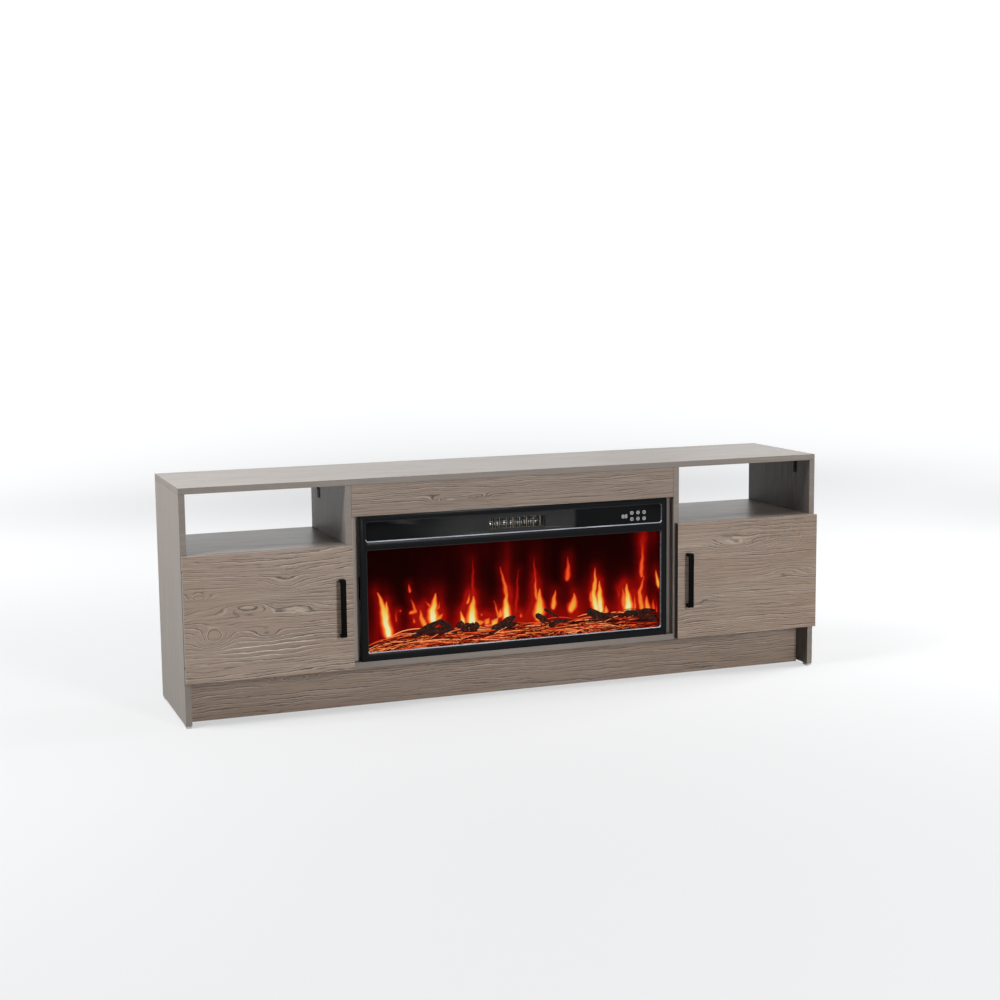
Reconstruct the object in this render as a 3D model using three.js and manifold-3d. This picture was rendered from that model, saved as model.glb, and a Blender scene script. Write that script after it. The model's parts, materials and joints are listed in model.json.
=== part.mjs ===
// Fireplace TV stand: a low cabinet with two open niches, two hinged doors and an electric
// fireplace insert in the middle bay. Millimetres, +Z up, front towards -Y.
import * as THREE from 'three';
import { mergeVertices } from 'three/addons/utils/BufferGeometryUtils.js';
import Module from 'manifold-3d';

const wasm = await Module();
wasm.setup();

// Carcass
const cabinetWidth = 1800;
const cabinetDepth = 350;
const cabinetHeight = 610;
const board = 16;
const fitGap = 0.3;
const overrun = 5;
const weldGap = 1e-4;
const deckTop = 130;
const nicheHeight = 153;
const plinthSetback = 60;
const plinthClearance = 1;
const headerHeight = 81.5;
const headerGap = 0.7;
const railHeight = 80;
const fillerFace = 21;
const fillerSetback = 20;
const backSheet = 3;
const cableHoleRadius = 25;
const cableHoleInset = 70;
const cableHoleRise = 90;

// Glides and angle brackets
const glideHeight = 6;
const glideLength = 26;
const glideInset = 1;
const glideCorner = 3;
const glideChamfer = 1;
const bracketWidth = 15;
const bracketLeg = 28;
const bracketSheet = 2;
const bracketBend = 2.5;
const bracketScrew = 3;
const bracketHead = 1.4;

// Doors and handles
const doorThickness = 16;
const doorGap = 2;
const doorReveal = 1;
const doorFall = 12;
const doorDrop = 0.5;
const doorLap = 11.5;
const handleWidth = 14;
const handleLength = 150;
const handleReach = 22;
const handleBar = 7;
const handleFoot = 8;
const handleCorner = 2.5;
const handleInset = 31.5;
const handleRise = 3;
const screwRadius = 2;
const screwDepth = 12;
const screwHeadRadius = 4;
const screwHeadHeight = 2.4;
const screwDome = 0.9;

// Pivot hinges
const pivotInset = 5;
const pivotDepth = 7;
const eyeRadius = 4;
const pinRadius = 1.6;
const leafThickness = 2;
const leafReach = 24;
const kerfHeight = 5.2;
const kerfMargin = 0.4;
const hingeEndInset = 37;
const plateThickness = 2;
const plateLength = 30;
const plateHeight = 40;
const plateSetback = 4;
const plateScrewRadius = 3;
const plateScrewHeight = 1.6;
const neckWidth = 5.7;

// Fireplace insert: frame, panel and window
const insertWidth = 874;
const insertDepth = 145;
const frameDepth = 12;
const frameFace = 3;
const frameRim = 2;
const frameCorner = 2;
const panelMargin = 14;
const panelDrop = 13.8;
const panelHeight = 55.5;
const panelCorner = 8;
const frameRail = 18.5;
const windowMargin = 16;
const windowSill = 19.7;
const windowCorner = 7;
const panelGlass = 3;
const windowGlass = 4;
const glassLap = 5;
const trimWidth = 2.6;
const trimLip = 0.5;

// Warm-air outlet
const grilleWidth = 166;
const grilleHeight = 35;
const grilleSetback = 1;
const grilleFlange = 4;
const grilleSheet = 1.5;
const grilleBorder = 3;
const slotPitch = 6.4;
const slotWidth = 3.2;

// Housing and rear cover
const sheet = 1.5;
const housingMargin = 8;
const housingDrop = 5.5;
const shelfRise = 9;
const earHeight = 60;
const earMargin = 2;
const intakeSlotWidth = 4;
const intakeSlotHeight = 34;
const intakePitch = 12;
const intakeMargin = 12;
const glandInset = 49;
const glandRise = 35.7;
const glandRadius = 8.6;
const glandFlange = 12;
const glandFlangeThickness = 3;
const glandTail = 12;
const glandTailRadius = 6.5;
const glandBore = 3.6;

// Fuel bed, screen, rotor and lamps
const bedDepth = 34;
const bedFrontRise = 17;
const bedRearRise = 52;
const screenThickness = 2.5;
const rotorDrop = 42;
const rotorRadius = 14;
const rotorShaft = 2.5;
const rotorBlade = 10;
const rotorSheet = 0.8;
const rotorStations = 26;
const rotorMotorRadius = 24;
const rotorMotorDepth = 14;
const rotorSocket = 6;
const bearingSize = 20;
const runGap = 0.3;
const stripDepth = 12;
const stripThickness = 1.6;
const lampSize = 5;
const lampHeight = 1.4;
const lampCount = 26;

// Blower, heater and board
const wheelRadius = 20;
const wheelInner = 15.5;
const wheelExtra = 2;
const wheelBlades = 24;
const wheelDisc = 1.5;
const bladeSheet = 0.9;
const scrollGap = 4;
const scrollSheet = 1.2;
const scrollMargin = 5;
const blowerShaft = 3;
const blowerMotorRadius = 20;
const blowerMotorLength = 30;
const blowerSetback = 64;
const heaterDepth = 12;
const heaterInset = 1;
const heaterRib = 1.6;
const heaterRibs = 15;
const heaterFrame = 4;
const boardSheet = 1.6;
const boardHalf = 46;
const boardInset = 83;
const displayHeight = 18;

// Derived places
const doorReach = doorGap + doorThickness + handleReach;
const frontY = (doorReach - cabinetDepth) / 2;
const rearY = frontY + cabinetDepth;
const halfWidth = cabinetWidth / 2;
const sideInner = halfWidth - board;
const insertHalf = insertWidth / 2;
const bayHalf = insertHalf + fillerFace;
const partitionOuter = bayHalf + board;
const topUnder = cabinetHeight - board;
const deckUnder = deckTop - board;
const nicheFloor = topUnder - nicheHeight;
const shelfUnder = nicheFloor - board;
const doorBack = frontY - doorGap;
const doorFront = doorBack - doorThickness;
const doorInner = partitionOuter - doorLap;
const doorOuter = halfWidth - doorReveal;
const doorBottom = deckTop - doorFall;
const doorTop = nicheFloor - doorDrop;
const insertBottom = deckTop + fitGap;
const insertTop = topUnder - headerHeight - headerGap;
const panelHalf = insertHalf - panelMargin;
const panelTop = insertTop - panelDrop;
const panelBottom = panelTop - panelHeight;
const windowHalf = insertHalf - windowMargin;
const windowTop = panelBottom - frameRail;
const windowBottom = insertBottom + windowSill;
const grilleBottom = (panelBottom + panelTop - grilleHeight) / 2;
const grilleTop = grilleBottom + grilleHeight;
const heatShelf = windowTop + shelfRise;
const housingHalf = insertHalf - housingMargin;
const housingTop = insertTop - housingDrop;
const housingFront = frontY + frameDepth + fitGap;
const housingRear = frontY + insertDepth - sheet - fitGap;
const floorTop = insertBottom + sheet;
const shelfTop = heatShelf + sheet;
const glassFront = frontY + frameFace + fitGap;
const glandX = housingHalf - glandInset;
const glandZ = insertBottom + glandRise;
const wheelHalf = grilleWidth / 2 + wheelExtra;
const heaterHalf = grilleWidth / 2 - heaterInset;
const boardX = panelHalf - boardInset;

function paint(color, roughness, metalness) {
  return () => new THREE.MeshStandardMaterial({ color, roughness, metalness });
}

const oak = paint(0x8f867c, 0.6, 0);
const backing = paint(0x8b8378, 0.8, 0);
const blackSteel = paint(0x17181a, 0.42, 0.6);
const blackGloss = paint(0x101214, 0.08, 0);
const clearGlass = paint(0x9aa0a4, 0.05, 0);
const brightTrim = paint(0xc8cacd, 0.2, 1);
const blackPlastic = paint(0x141414, 0.5, 0);
const zincSteel = paint(0xa9adb0, 0.35, 1);
const emberResin = paint(0x6b2412, 0.8, 0);
const flameFilm = paint(0xc2410c, 0.5, 0);
const mirrorFoil = paint(0xd6d8da, 0.15, 1);
const circuit = paint(0x1f4d33, 0.6, 0);
const mica = paint(0xb9a88a, 0.7, 0);

const group = new THREE.Group();

function add(name, geometry, material) {
  const mesh = new THREE.Mesh(geometry, material());
  mesh.name = name;
  group.add(mesh);
  return mesh;
}

// Solids for cutting and joining
function solid(geometry) {
  const bare = geometry.clone();
  for (const name of Object.keys(bare.attributes)) {
    if (name !== 'position') bare.deleteAttribute(name);
  }
  const merged = mergeVertices(bare, weldGap);
  return new wasm.Manifold(new wasm.Mesh({
    numProp: 3,
    vertProperties: new Float32Array(merged.attributes.position.array),
    triVerts: new Uint32Array(merged.index.array),
  }));
}

function skin(body) {
  const mesh = body.getMesh();
  const geometry = new THREE.BufferGeometry();
  const points = new Float32Array(mesh.numVert * 3);
  for (let i = 0; i < mesh.numVert; i += 1) {
    for (let k = 0; k < 3; k += 1) points[3 * i + k] = mesh.vertProperties[mesh.numProp * i + k];
  }
  geometry.setAttribute('position', new THREE.BufferAttribute(points, 3));
  geometry.setIndex(new THREE.BufferAttribute(new Uint32Array(mesh.triVerts), 1));
  geometry.computeVertexNormals();
  return geometry;
}

function join(geometries) {
  return geometries.map(solid).reduce((sum, next) => sum.add(next));
}

function cut(body, geometries) {
  return geometries.map(solid).reduce((sum, next) => sum.subtract(next), body);
}

// Basic forms
function box(x0, x1, y0, y1, z0, z1) {
  const block = new THREE.BoxGeometry(x1 - x0, y1 - y0, z1 - z0);
  return block.translate((x0 + x1) / 2, (y0 + y1) / 2, (z0 + z1) / 2);
}

// A round bar along X, Y or Z between two stations, centred on the other two coordinates.
function bar(axis, radius, from, to, u, v, sides = 16) {
  const round = new THREE.CylinderGeometry(radius, radius, to - from, sides);
  const middle = (from + to) / 2;
  if (axis === 'x') return round.rotateZ(-Math.PI / 2).translate(middle, u, v);
  if (axis === 'y') return round.translate(u, middle, v);
  return round.rotateX(Math.PI / 2).translate(u, v, middle);
}

// The radius of a faceted bore whose flats stay runGap away from a shaft.
function boreRadius(radius, sides = 16) {
  return (radius + runGap) / Math.cos(Math.PI / sides);
}

function roundedShape(x0, x1, z0, z1, r) {
  const shape = new THREE.Shape();
  shape.moveTo(x0 + r, z0);
  shape.lineTo(x1 - r, z0);
  shape.absarc(x1 - r, z0 + r, r, -Math.PI / 2, 0);
  shape.lineTo(x1, z1 - r);
  shape.absarc(x1 - r, z1 - r, r, 0, Math.PI / 2);
  shape.lineTo(x0 + r, z1);
  shape.absarc(x0 + r, z1 - r, r, Math.PI / 2, Math.PI);
  shape.lineTo(x0, z0 + r);
  shape.absarc(x0 + r, z0 + r, r, Math.PI, 1.5 * Math.PI);
  return shape;
}

// A shape drawn in X and Z, extruded along Y from y0 to y1.
function slabXZ(shape, y0, y1, curveSegments = 4) {
  const slab = new THREE.ExtrudeGeometry(shape, { depth: y1 - y0, bevelEnabled: false, curveSegments });
  return slab.rotateX(Math.PI / 2).translate(0, y1, 0);
}

// A shape drawn in Y and Z, extruded along X from x0 to x1.
function slabYZ(shape, x0, x1, curveSegments = 4) {
  const slab = new THREE.ExtrudeGeometry(shape, { depth: x1 - x0, bevelEnabled: false, curveSegments });
  return slab.rotateX(Math.PI / 2).rotateZ(Math.PI / 2).translate(x0, 0, 0);
}

// A shape drawn in X and Y, extruded along Z from z0 to z1.
function slabXY(shape, z0, z1, curveSegments = 4) {
  const slab = new THREE.ExtrudeGeometry(shape, { depth: z1 - z0, bevelEnabled: false, curveSegments });
  return slab.translate(0, 0, z0);
}

function polygon(points) {
  return new THREE.Shape(points.map(([u, v]) => new THREE.Vector2(u, v)));
}

// A closed strip that follows a rounded rectangle: the profile lists [outward offset, y].
function ringAround(x0, x1, z0, z1, r, profile, cornerSteps = 4) {
  const corners = [[x1 - r, z0 + r, -0.5], [x1 - r, z1 - r, 0], [x0 + r, z1 - r, 0.5], [x0 + r, z0 + r, 1]];
  const count = 4 * (cornerSteps + 1);
  const points = [];
  for (const [offset, y] of profile) {
    for (const [cx, cz, turn] of corners) {
      for (let s = 0; s <= cornerSteps; s += 1) {
        const angle = Math.PI * (turn + 0.5 * s / cornerSteps);
        points.push(cx + (r + offset) * Math.cos(angle), y, cz + (r + offset) * Math.sin(angle));
      }
    }
  }
  const faces = [];
  for (let k = 0; k < profile.length; k += 1) {
    const low = k * count;
    const high = ((k + 1) % profile.length) * count;
    for (let i = 0; i < count; i += 1) {
      const j = (i + 1) % count;
      faces.push(low + i, high + i, high + j, low + i, high + j, low + j);
    }
  }
  const ring = new THREE.BufferGeometry();
  ring.setAttribute('position', new THREE.BufferAttribute(new Float32Array(points), 3));
  ring.setIndex(faces);
  return ring;
}

// Mirrors a geometry to the other side of the cabinet and keeps its faces outwards.
function mirrored(geometry) {
  const flat = geometry.index ? geometry.toNonIndexed() : geometry.clone();
  flat.scale(-1, 1, 1);
  const points = flat.attributes.position;
  for (let i = 0; i < points.count; i += 3) {
    const [x, y, z] = [points.getX(i), points.getY(i), points.getZ(i)];
    points.setXYZ(i, points.getX(i + 1), points.getY(i + 1), points.getZ(i + 1));
    points.setXYZ(i + 1, x, y, z);
  }
  flat.computeVertexNormals();
  return flat;
}

// Adds a right-hand piece and its mirror image on the left.
function addPair(name, geometry, material) {
  add(`right_${name}`, geometry, material);
  add(`left_${name}`, mirrored(geometry), material);
}

// Carcass boards
function buildCarcass() {
  add('top_panel', box(-halfWidth, halfWidth, frontY, rearY, topUnder, cabinetHeight), oak);
  addPair('side_panel', box(sideInner, halfWidth, frontY, rearY, glideHeight, topUnder - fitGap), oak);
  const inside = sideInner - fitGap;
  add('bottom_panel', box(-inside, inside, frontY, rearY, deckUnder, deckTop), oak);
  const under = topUnder - fitGap;
  addPair('partition', box(bayHalf, partitionOuter, frontY, rearY, deckTop + fitGap, under), oak);
  addPair('shelf', box(partitionOuter + fitGap, inside, frontY, rearY, shelfUnder, nicheFloor), oak);
  const kickFront = frontY + plinthSetback;
  const kickTop = deckUnder - fitGap;
  add('front_plinth', box(-inside, inside, kickFront, kickFront + board, plinthClearance, kickTop), oak);
  const between = bayHalf - fitGap;
  const headerUnder = topUnder - headerHeight;
  add('header_panel', box(-between, between, frontY, frontY + board, headerUnder, under), oak);
  add('rear_rail', box(-between, between, rearY - board, rearY, topUnder - railHeight, under), oak);
  const fillerFront = frontY + fillerSetback;
  addPair('filler_strip', box(insertHalf + fitGap, between, fillerFront, fillerFront + board,
    deckTop + fitGap, headerUnder - fitGap), oak);
}

// A thin back behind each cupboard, with a round cable hole low near the partition.
function buildBacks() {
  const sheetBack = box(partitionOuter + fitGap, sideInner - fitGap, rearY - backSheet, rearY,
    deckTop + fitGap, shelfUnder - fitGap);
  const hole = bar('y', cableHoleRadius, rearY - backSheet - overrun, rearY + overrun,
    partitionOuter + cableHoleInset, deckTop + cableHoleRise, 24);
  addPair('back_panel', skin(cut(solid(sheetBack), [hole])), backing);
}

function glide(yMiddle) {
  const [x0, x1] = [sideInner + glideInset, halfWidth - glideInset];
  const [y0, y1] = [yMiddle - glideLength / 2, yMiddle + glideLength / 2];
  const edge = glideChamfer;
  const foot = roundedShape(x0, x1, y0, y1, glideCorner);
  const sole = roundedShape(x0 + edge, x1 - edge, y0 + edge, y1 - edge, glideCorner - edge);
  return skin(join([slabXY(foot, edge, glideHeight - fitGap, 3), slabXY(sole, 0, 2 * edge, 3)]));
}

function buildGlides() {
  const fromEnd = glideLength / 2 + glideInset;
  addPair('front_glide', glide(frontY + fromEnd), blackPlastic);
  addPair('rear_glide', glide(rearY - fromEnd), blackPlastic);
}

// An angle bracket under the top: one leg on a wall, one on the top, and a screw through each.
function angleBracket(wallX, direction, yMiddle) {
  const [sheetIn, bendIn] = [bracketSheet, bracketSheet + bracketBend];
  const profile = new THREE.Shape();
  profile.moveTo(0, 0);
  profile.lineTo(0, -bracketLeg);
  profile.lineTo(sheetIn, -bracketLeg);
  profile.lineTo(sheetIn, -bendIn);
  profile.absarc(bendIn, -bendIn, bracketBend, Math.PI, Math.PI / 2, true);
  profile.lineTo(bracketLeg, -sheetIn);
  profile.lineTo(bracketLeg, 0);
  const strip = slabXZ(profile, -bracketWidth / 2, bracketWidth / 2, 3);
  const screwShare = 0.62;
  const screwAt = screwShare * bracketLeg;
  const heads = [
    bar('x', bracketScrew, sheetIn / 2, sheetIn + bracketHead, 0, -screwAt, 12),
    bar('z', bracketScrew, -sheetIn - bracketHead, -sheetIn / 2, screwAt, 0, 12),
  ];
  const bracket = skin(join([strip, ...heads]));
  const facing = direction > 0 ? bracket : mirrored(bracket);
  return facing.translate(wallX + direction * fitGap, yMiddle, topUnder - fitGap);
}

// Each niche has a bracket on its inner wall near the back and one on its outer wall near the front.
function buildBrackets() {
  const backShare = 0.77;
  const frontShare = 0.23;
  const inner = angleBracket(partitionOuter, 1, frontY + backShare * cabinetDepth);
  const outer = angleBracket(sideInner, -1, frontY + frontShare * cabinetDepth);
  addPair('inner_bracket', inner, blackSteel);
  addPair('outer_bracket', outer, blackSteel);
}

// Doors: the right one is drawn, the left one is its mirror image.
const pivotX = doorOuter - pivotInset;
const pivotY = doorFront + pivotDepth;
const kerfLevels = [doorBottom + hingeEndInset, doorTop - hingeEndInset - kerfHeight];
const handleX = doorInner + handleInset;
const handleLow = (doorBottom + doorTop - handleLength) / 2 + handleRise;
const handleHigh = handleLow + handleLength;
const screwLevels = [handleLow + handleFoot / 2, handleHigh - handleFoot / 2];

function doorPanel() {
  const panel = solid(box(doorInner, doorOuter, doorFront, doorBack, doorBottom, doorTop));
  const kerfInner = pivotX - leafReach - 2 * fitGap;
  const kerfFront = pivotY - eyeRadius - kerfMargin;
  const kerfs = kerfLevels.map((z) =>
    box(kerfInner, doorOuter + overrun, kerfFront, doorBack + overrun, z, z + kerfHeight));
  const holes = screwLevels.map((z) =>
    bar('y', boreRadius(screwRadius), doorFront - overrun, doorBack + overrun, handleX, z));
  return skin(cut(panel, [...kerfs, ...holes]));
}

// A bow handle bent from flat bar, with a blind screw hole in each foot.
function handle() {
  const back = doorFront - fitGap;
  const front = doorFront - handleReach;
  const [low, high, r] = [handleLow, handleHigh, handleCorner];
  const inner = front + handleBar;
  const outline = new THREE.Shape();
  outline.moveTo(back, low);
  outline.lineTo(back, low + handleFoot);
  outline.lineTo(inner + r, low + handleFoot);
  outline.absarc(inner + r, low + handleFoot + r, r, -Math.PI / 2, -Math.PI, true);
  outline.lineTo(inner, high - handleFoot - r);
  outline.absarc(inner + r, high - handleFoot - r, r, Math.PI, Math.PI / 2, true);
  outline.lineTo(back, high - handleFoot);
  outline.lineTo(back, high);
  outline.lineTo(front + r, high);
  outline.absarc(front + r, high - r, r, Math.PI / 2, Math.PI);
  outline.lineTo(front, low + r);
  outline.absarc(front + r, low + r, r, Math.PI, 1.5 * Math.PI);
  const bow = solid(slabYZ(outline, handleX - handleWidth / 2, handleX + handleWidth / 2, 5));
  const holes = screwLevels.map((z) => bar('y', boreRadius(screwRadius), doorFront - screwDepth - fitGap,
    doorFront + overrun, handleX, z));
  return skin(cut(bow, holes));
}

// A domed screw that passes through the door from behind.
function handleScrew(level) {
  const seat = doorBack + fitGap;
  const reach = seat - (doorFront - screwDepth);
  const crown = reach + screwHeadHeight;
  const profile = [[0, 0], [screwRadius, 0], [screwRadius, reach], [screwHeadRadius, reach],
    [screwHeadRadius, crown - screwDome], [screwHeadRadius - screwDome, crown], [0, crown]];
  const turned = new THREE.LatheGeometry(profile.map(([r, h]) => new THREE.Vector2(r, h)), 16);
  return turned.translate(handleX, doorFront - screwDepth, level);
}

// The cabinet half of a hinge: a plate on the side panel and a forward neck that ends in an eye.
function hingePlate(kerfLow) {
  const wall = sideInner - fitGap;
  const face = wall - plateThickness;
  const z0 = kerfLow + leafThickness + 2 * fitGap;
  const z1 = z0 + leafThickness;
  const middle = (z0 + z1) / 2;
  const plateFront = frontY + plateSetback;
  const plate = box(face, wall, plateFront, plateFront + plateLength,
    middle - plateHeight / 2, middle + plateHeight / 2);
  const neckRear = plateFront + plateLength / 2;
  const [sideShare, endShare] = [0.62, 0.75];
  const neck = slabXY(polygon([
    [wall - neckWidth, neckRear], [wall - neckWidth, plateFront - neckWidth / 2],
    [pivotX - sideShare * eyeRadius, pivotY - endShare * eyeRadius],
    [pivotX + sideShare * eyeRadius, pivotY + endShare * eyeRadius],
    [wall, frontY - kerfMargin], [wall, neckRear],
  ]), z0, z1);
  const eye = bar('z', eyeRadius, z0, z1, pivotX, pivotY, 20);
  const heads = [-1, 1].map((side) => bar('x', plateScrewRadius, face - plateScrewHeight, face + fitGap,
    plateFront + plateLength / 2, middle + side * plateHeight / 3, 12));
  const bore = bar('z', boreRadius(pinRadius), z0 - overrun, z1 + overrun, pivotX, pivotY);
  return skin(cut(join([plate, neck, eye, ...heads]), [bore]));
}

// The door half: a leaf on the kerf's floor with the pin that turns in the eye.
function hingeLeaf(kerfLow) {
  const z0 = kerfLow + fitGap;
  const z1 = z0 + leafThickness;
  const leaf = box(pivotX - leafReach, pivotX, pivotY - eyeRadius, pivotY + eyeRadius, z0, z1);
  const end = bar('z', eyeRadius, z0, z1, pivotX, pivotY, 20);
  const pin = bar('z', pinRadius, z0, z1 + fitGap + leafThickness, pivotX, pivotY);
  return skin(join([leaf, end, pin]));
}

function buildDoors() {
  addPair('door', doorPanel(), oak);
  addPair('handle', handle(), blackSteel);
  ['lower', 'upper'].forEach((place, i) => {
    addPair(`${place}_handle_screw`, handleScrew(screwLevels[i]), zincSteel);
    addPair(`${place}_hinge_plate`, hingePlate(kerfLevels[i]), zincSteel);
    addPair(`${place}_hinge_leaf`, hingeLeaf(kerfLevels[i]), zincSteel);
  });
}

// Insert front: pressed frame with an upper panel opening and a window opening.
function frontFrame() {
  const outer = roundedShape(-insertHalf, insertHalf, insertBottom, insertTop, frameCorner);
  const pocketHalf = insertHalf - frameRim;
  const pocket = box(-pocketHalf, pocketHalf, frontY + frameFace, frontY + frameDepth + overrun,
    insertBottom + frameRim, insertTop - frameRim);
  const panelHole = roundedShape(-panelHalf, panelHalf, panelBottom, panelTop, panelCorner);
  const windowHole = roundedShape(-windowHalf, windowHalf, windowBottom, windowTop, windowCorner);
  const holes = [panelHole, windowHole].map((hole) =>
    slabXZ(hole, frontY - overrun, frontY + frameFace + overrun));
  return skin(cut(solid(slabXZ(outer, frontY, frontY + frameDepth)), [pocket, ...holes]));
}

// A bright strip with a sloping face, just inside an opening of the frame.
function trimRing(half, z0, z1, corner) {
  const [back, lip] = [glassFront - fitGap, frontY + trimLip];
  const profile = [[-trimWidth, back], [-trimWidth, back - trimLip], [-trimLip, lip], [0, lip], [0, back]];
  const inset = profile.map(([offset, y]) => [offset - fitGap, y]);
  return ringAround(-half, half, z0, z1, corner, inset);
}

function outletGrille() {
  const [x0, x1] = [-grilleWidth / 2, grilleWidth / 2];
  const [z0, z1] = [grilleBottom, grilleTop];
  const back = glassFront + panelGlass + fitGap;
  const rear = back + grilleSheet;
  const face = roundedShape(x0, x1, z0, z1, grilleBorder);
  const plate = slabXZ(face, glassFront + grilleSetback, rear);
  const lap = grilleFlange;
  const flange = box(x0 - lap, x1 + lap, back, rear, z0 - lap, z1 + lap);
  const count = Math.floor((grilleWidth - 2 * grilleBorder) / slotPitch);
  const slots = Array.from({ length: count }, (_, i) => {
    const x = slotPitch * (i - (count - 1) / 2);
    return box(x - slotWidth / 2, x + slotWidth / 2, frontY, rear + overrun,
      z0 + grilleBorder, z1 - grilleBorder);
  });
  return skin(cut(join([plate, flange]), slots));
}

function controlPanel() {
  const outer = roundedShape(-panelHalf - glassLap, panelHalf + glassLap,
    panelBottom - glassLap, panelTop + glassLap, panelCorner);
  const window = roundedShape(-grilleWidth / 2 - fitGap, grilleWidth / 2 + fitGap,
    grilleBottom - fitGap, grilleTop + fitGap, grilleBorder);
  const plate = solid(slabXZ(outer, glassFront, glassFront + panelGlass));
  return skin(cut(plate, [slabXZ(window, frontY, glassFront + panelGlass + overrun)]));
}

function windowPane() {
  const outer = roundedShape(-windowHalf - glassLap, windowHalf + glassLap,
    windowBottom - glassLap, windowTop + glassLap, windowCorner);
  return slabXZ(outer, glassFront, glassFront + windowGlass);
}

function buildFront() {
  add('front_frame', frontFrame(), blackGloss);
  add('control_panel', controlPanel(), blackGloss);
  add('window_glass', windowPane(), clearGlass);
  add('panel_trim', trimRing(panelHalf, panelBottom, panelTop, panelCorner), brightTrim);
  add('window_trim', trimRing(windowHalf, windowBottom, windowTop, windowCorner), brightTrim);
  add('outlet_grille', outletGrille(), blackPlastic);
}

// Housing: a folded sheet box, open at the front, with a heat shelf and two fixing ears.
function housing() {
  const shell = solid(box(-housingHalf, housingHalf, housingFront, housingRear, insertBottom, housingTop));
  const inside = housingHalf - sheet;
  const rooms = [[floorTop, heatShelf], [shelfTop, housingTop - sheet]].map(([z0, z1]) =>
    box(-inside, inside, housingFront - overrun, housingRear + overrun, z0, z1));
  const earFront = frontY + fillerSetback + board + fitGap;
  const earLow = (insertBottom + housingTop - earHeight) / 2;
  const ear = box(housingHalf - sheet / 2, bayHalf - earMargin, earFront, earFront + sheet,
    earLow, earLow + earHeight);
  return skin(cut(shell, rooms).add(join([ear, mirrored(ear)])));
}

// The rear cover has a row of intake slots behind the blower and a hole for the cord gland.
function rearCover() {
  const back = frontY + insertDepth;
  const front = back - sheet;
  const plate = solid(box(-housingHalf, housingHalf, front, back, insertBottom + fitGap, housingTop));
  const zMiddle = (shelfTop + housingTop) / 2;
  const half = wheelHalf + 2 * intakeMargin;
  const count = Math.floor(2 * half / intakePitch);
  const slots = Array.from({ length: count }, (_, i) => {
    const x = intakePitch * (i - (count - 1) / 2);
    return box(x - intakeSlotWidth / 2, x + intakeSlotWidth / 2, front - overrun, back + overrun,
      zMiddle - intakeSlotHeight / 2, zMiddle + intakeSlotHeight / 2);
  });
  const hole = boreRadius(glandRadius, 20);
  const glandHole = bar('y', hole, front - overrun, back + overrun, glandX, glandZ, 20);
  return skin(cut(plate, [...slots, glandHole]));
}

function cordGland() {
  const back = frontY + insertDepth;
  const inner = back - sheet - glandFlangeThickness;
  const outer = back + fitGap;
  const flangeEnd = outer + glandFlangeThickness;
  const tailEnd = outer + glandTail;
  const profile = [[glandBore, inner], [glandRadius, inner], [glandRadius, outer], [glandFlange, outer],
    [glandFlange, flangeEnd], [glandRadius, flangeEnd], [glandTailRadius, tailEnd], [glandBore, tailEnd],
    [glandBore, inner]];
  const turned = new THREE.LatheGeometry(profile.map(([r, h]) => new THREE.Vector2(r, h)), 20);
  return turned.translate(glandX, 0, glandZ);
}

// Fuel bed: a sloping tray with logs across it.
const logShares = [
  // centre along the bed, depth share, half length, start and end height shares, radius share
  [0.162, 0.72, 0.032, 1.11, 1.15, 0.10], [0.210, 0.55, 0.042, 0.82, 1.53, 0.16],
  [0.272, 0.48, 0.022, 1.53, 0.74, 0.155], [0.328, 0.52, 0.015, 1.36, 0.77, 0.17],
  [0.360, 0.57, 0.017, 0.81, 1.26, 0.16], [0.458, 0.58, 0.042, 0.73, 1.42, 0.20],
  [0.597, 0.55, 0.020, 1.36, 0.78, 0.17], [0.629, 0.58, 0.015, 0.80, 1.34, 0.17],
  [0.629, 0.75, 0.021, 1.76, 1.28, 0.08], [0.804, 0.58, 0.047, 1.34, 0.69, 0.16],
  [0.949, 0.50, 0.036, 0.66, 0.70, 0.26], [0.938, 0.74, 0.048, 0.96, 1.00, 0.11],
];

function fuelBed() {
  const [y0, z0] = [housingFront + fitGap, floorTop + fitGap];
  const half = housingHalf - sheet - fitGap;
  const tray = slabYZ(polygon([[y0, z0], [y0 + bedDepth, z0], [y0 + bedDepth, z0 + bedRearRise],
    [y0, z0 + bedFrontRise]]), -half, half);
  const logs = logShares.map(([along, deep, span, rise0, rise1, girth]) => {
    const place = (share, rise) =>
      new THREE.Vector3((2 * share - 1) * half, y0 + deep * bedDepth, z0 + rise * bedRearRise);
    const radius = Math.min(girth * bedRearRise, bedDepth / 3);
    return logForm(place(along - span, rise0), place(along + span, rise1), radius);
  });
  return skin(join([tray, ...logs]));
}

// A log with a slight waist, knobbly section and blunt ends.
function logForm(start, end, radius) {
  const [sides, rings] = [8, 5];
  const axis = end.clone().sub(start);
  const log = new THREE.CylinderGeometry(radius, radius, axis.length(), sides, rings);
  const points = log.attributes.position;
  for (let i = 0; i < points.count; i += 1) {
    const along = points.getY(i) / axis.length() + 0.5;
    const around = Math.atan2(points.getZ(i), points.getX(i));
    const waist = 0.16 * Math.cos(2 * Math.PI * (along - 0.2));
    const swell = 0.82 + waist + 0.08 * Math.sin(3 * around + 5 * along);
    points.setX(i, points.getX(i) * swell);
    points.setZ(i, points.getZ(i) * swell);
  }
  const upright = new THREE.Vector3(0, 1, 0);
  const turn = new THREE.Quaternion().setFromUnitVectors(upright, axis.clone().normalize());
  const middle = start.clone().add(end).multiplyScalar(0.5);
  return log.applyQuaternion(turn).translate(middle.x, middle.y, middle.z);
}

// The flame screen stands behind the bed, and the rotor turns low behind the screen.
const screenFront = housingFront + 2 * fitGap + bedDepth;
const rotorY = frontY + insertDepth - rotorDrop;
const rotorZ = floorTop + rotorMotorRadius + 2 * fitGap;
const wallInner = housingHalf - sheet - fitGap;

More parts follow.
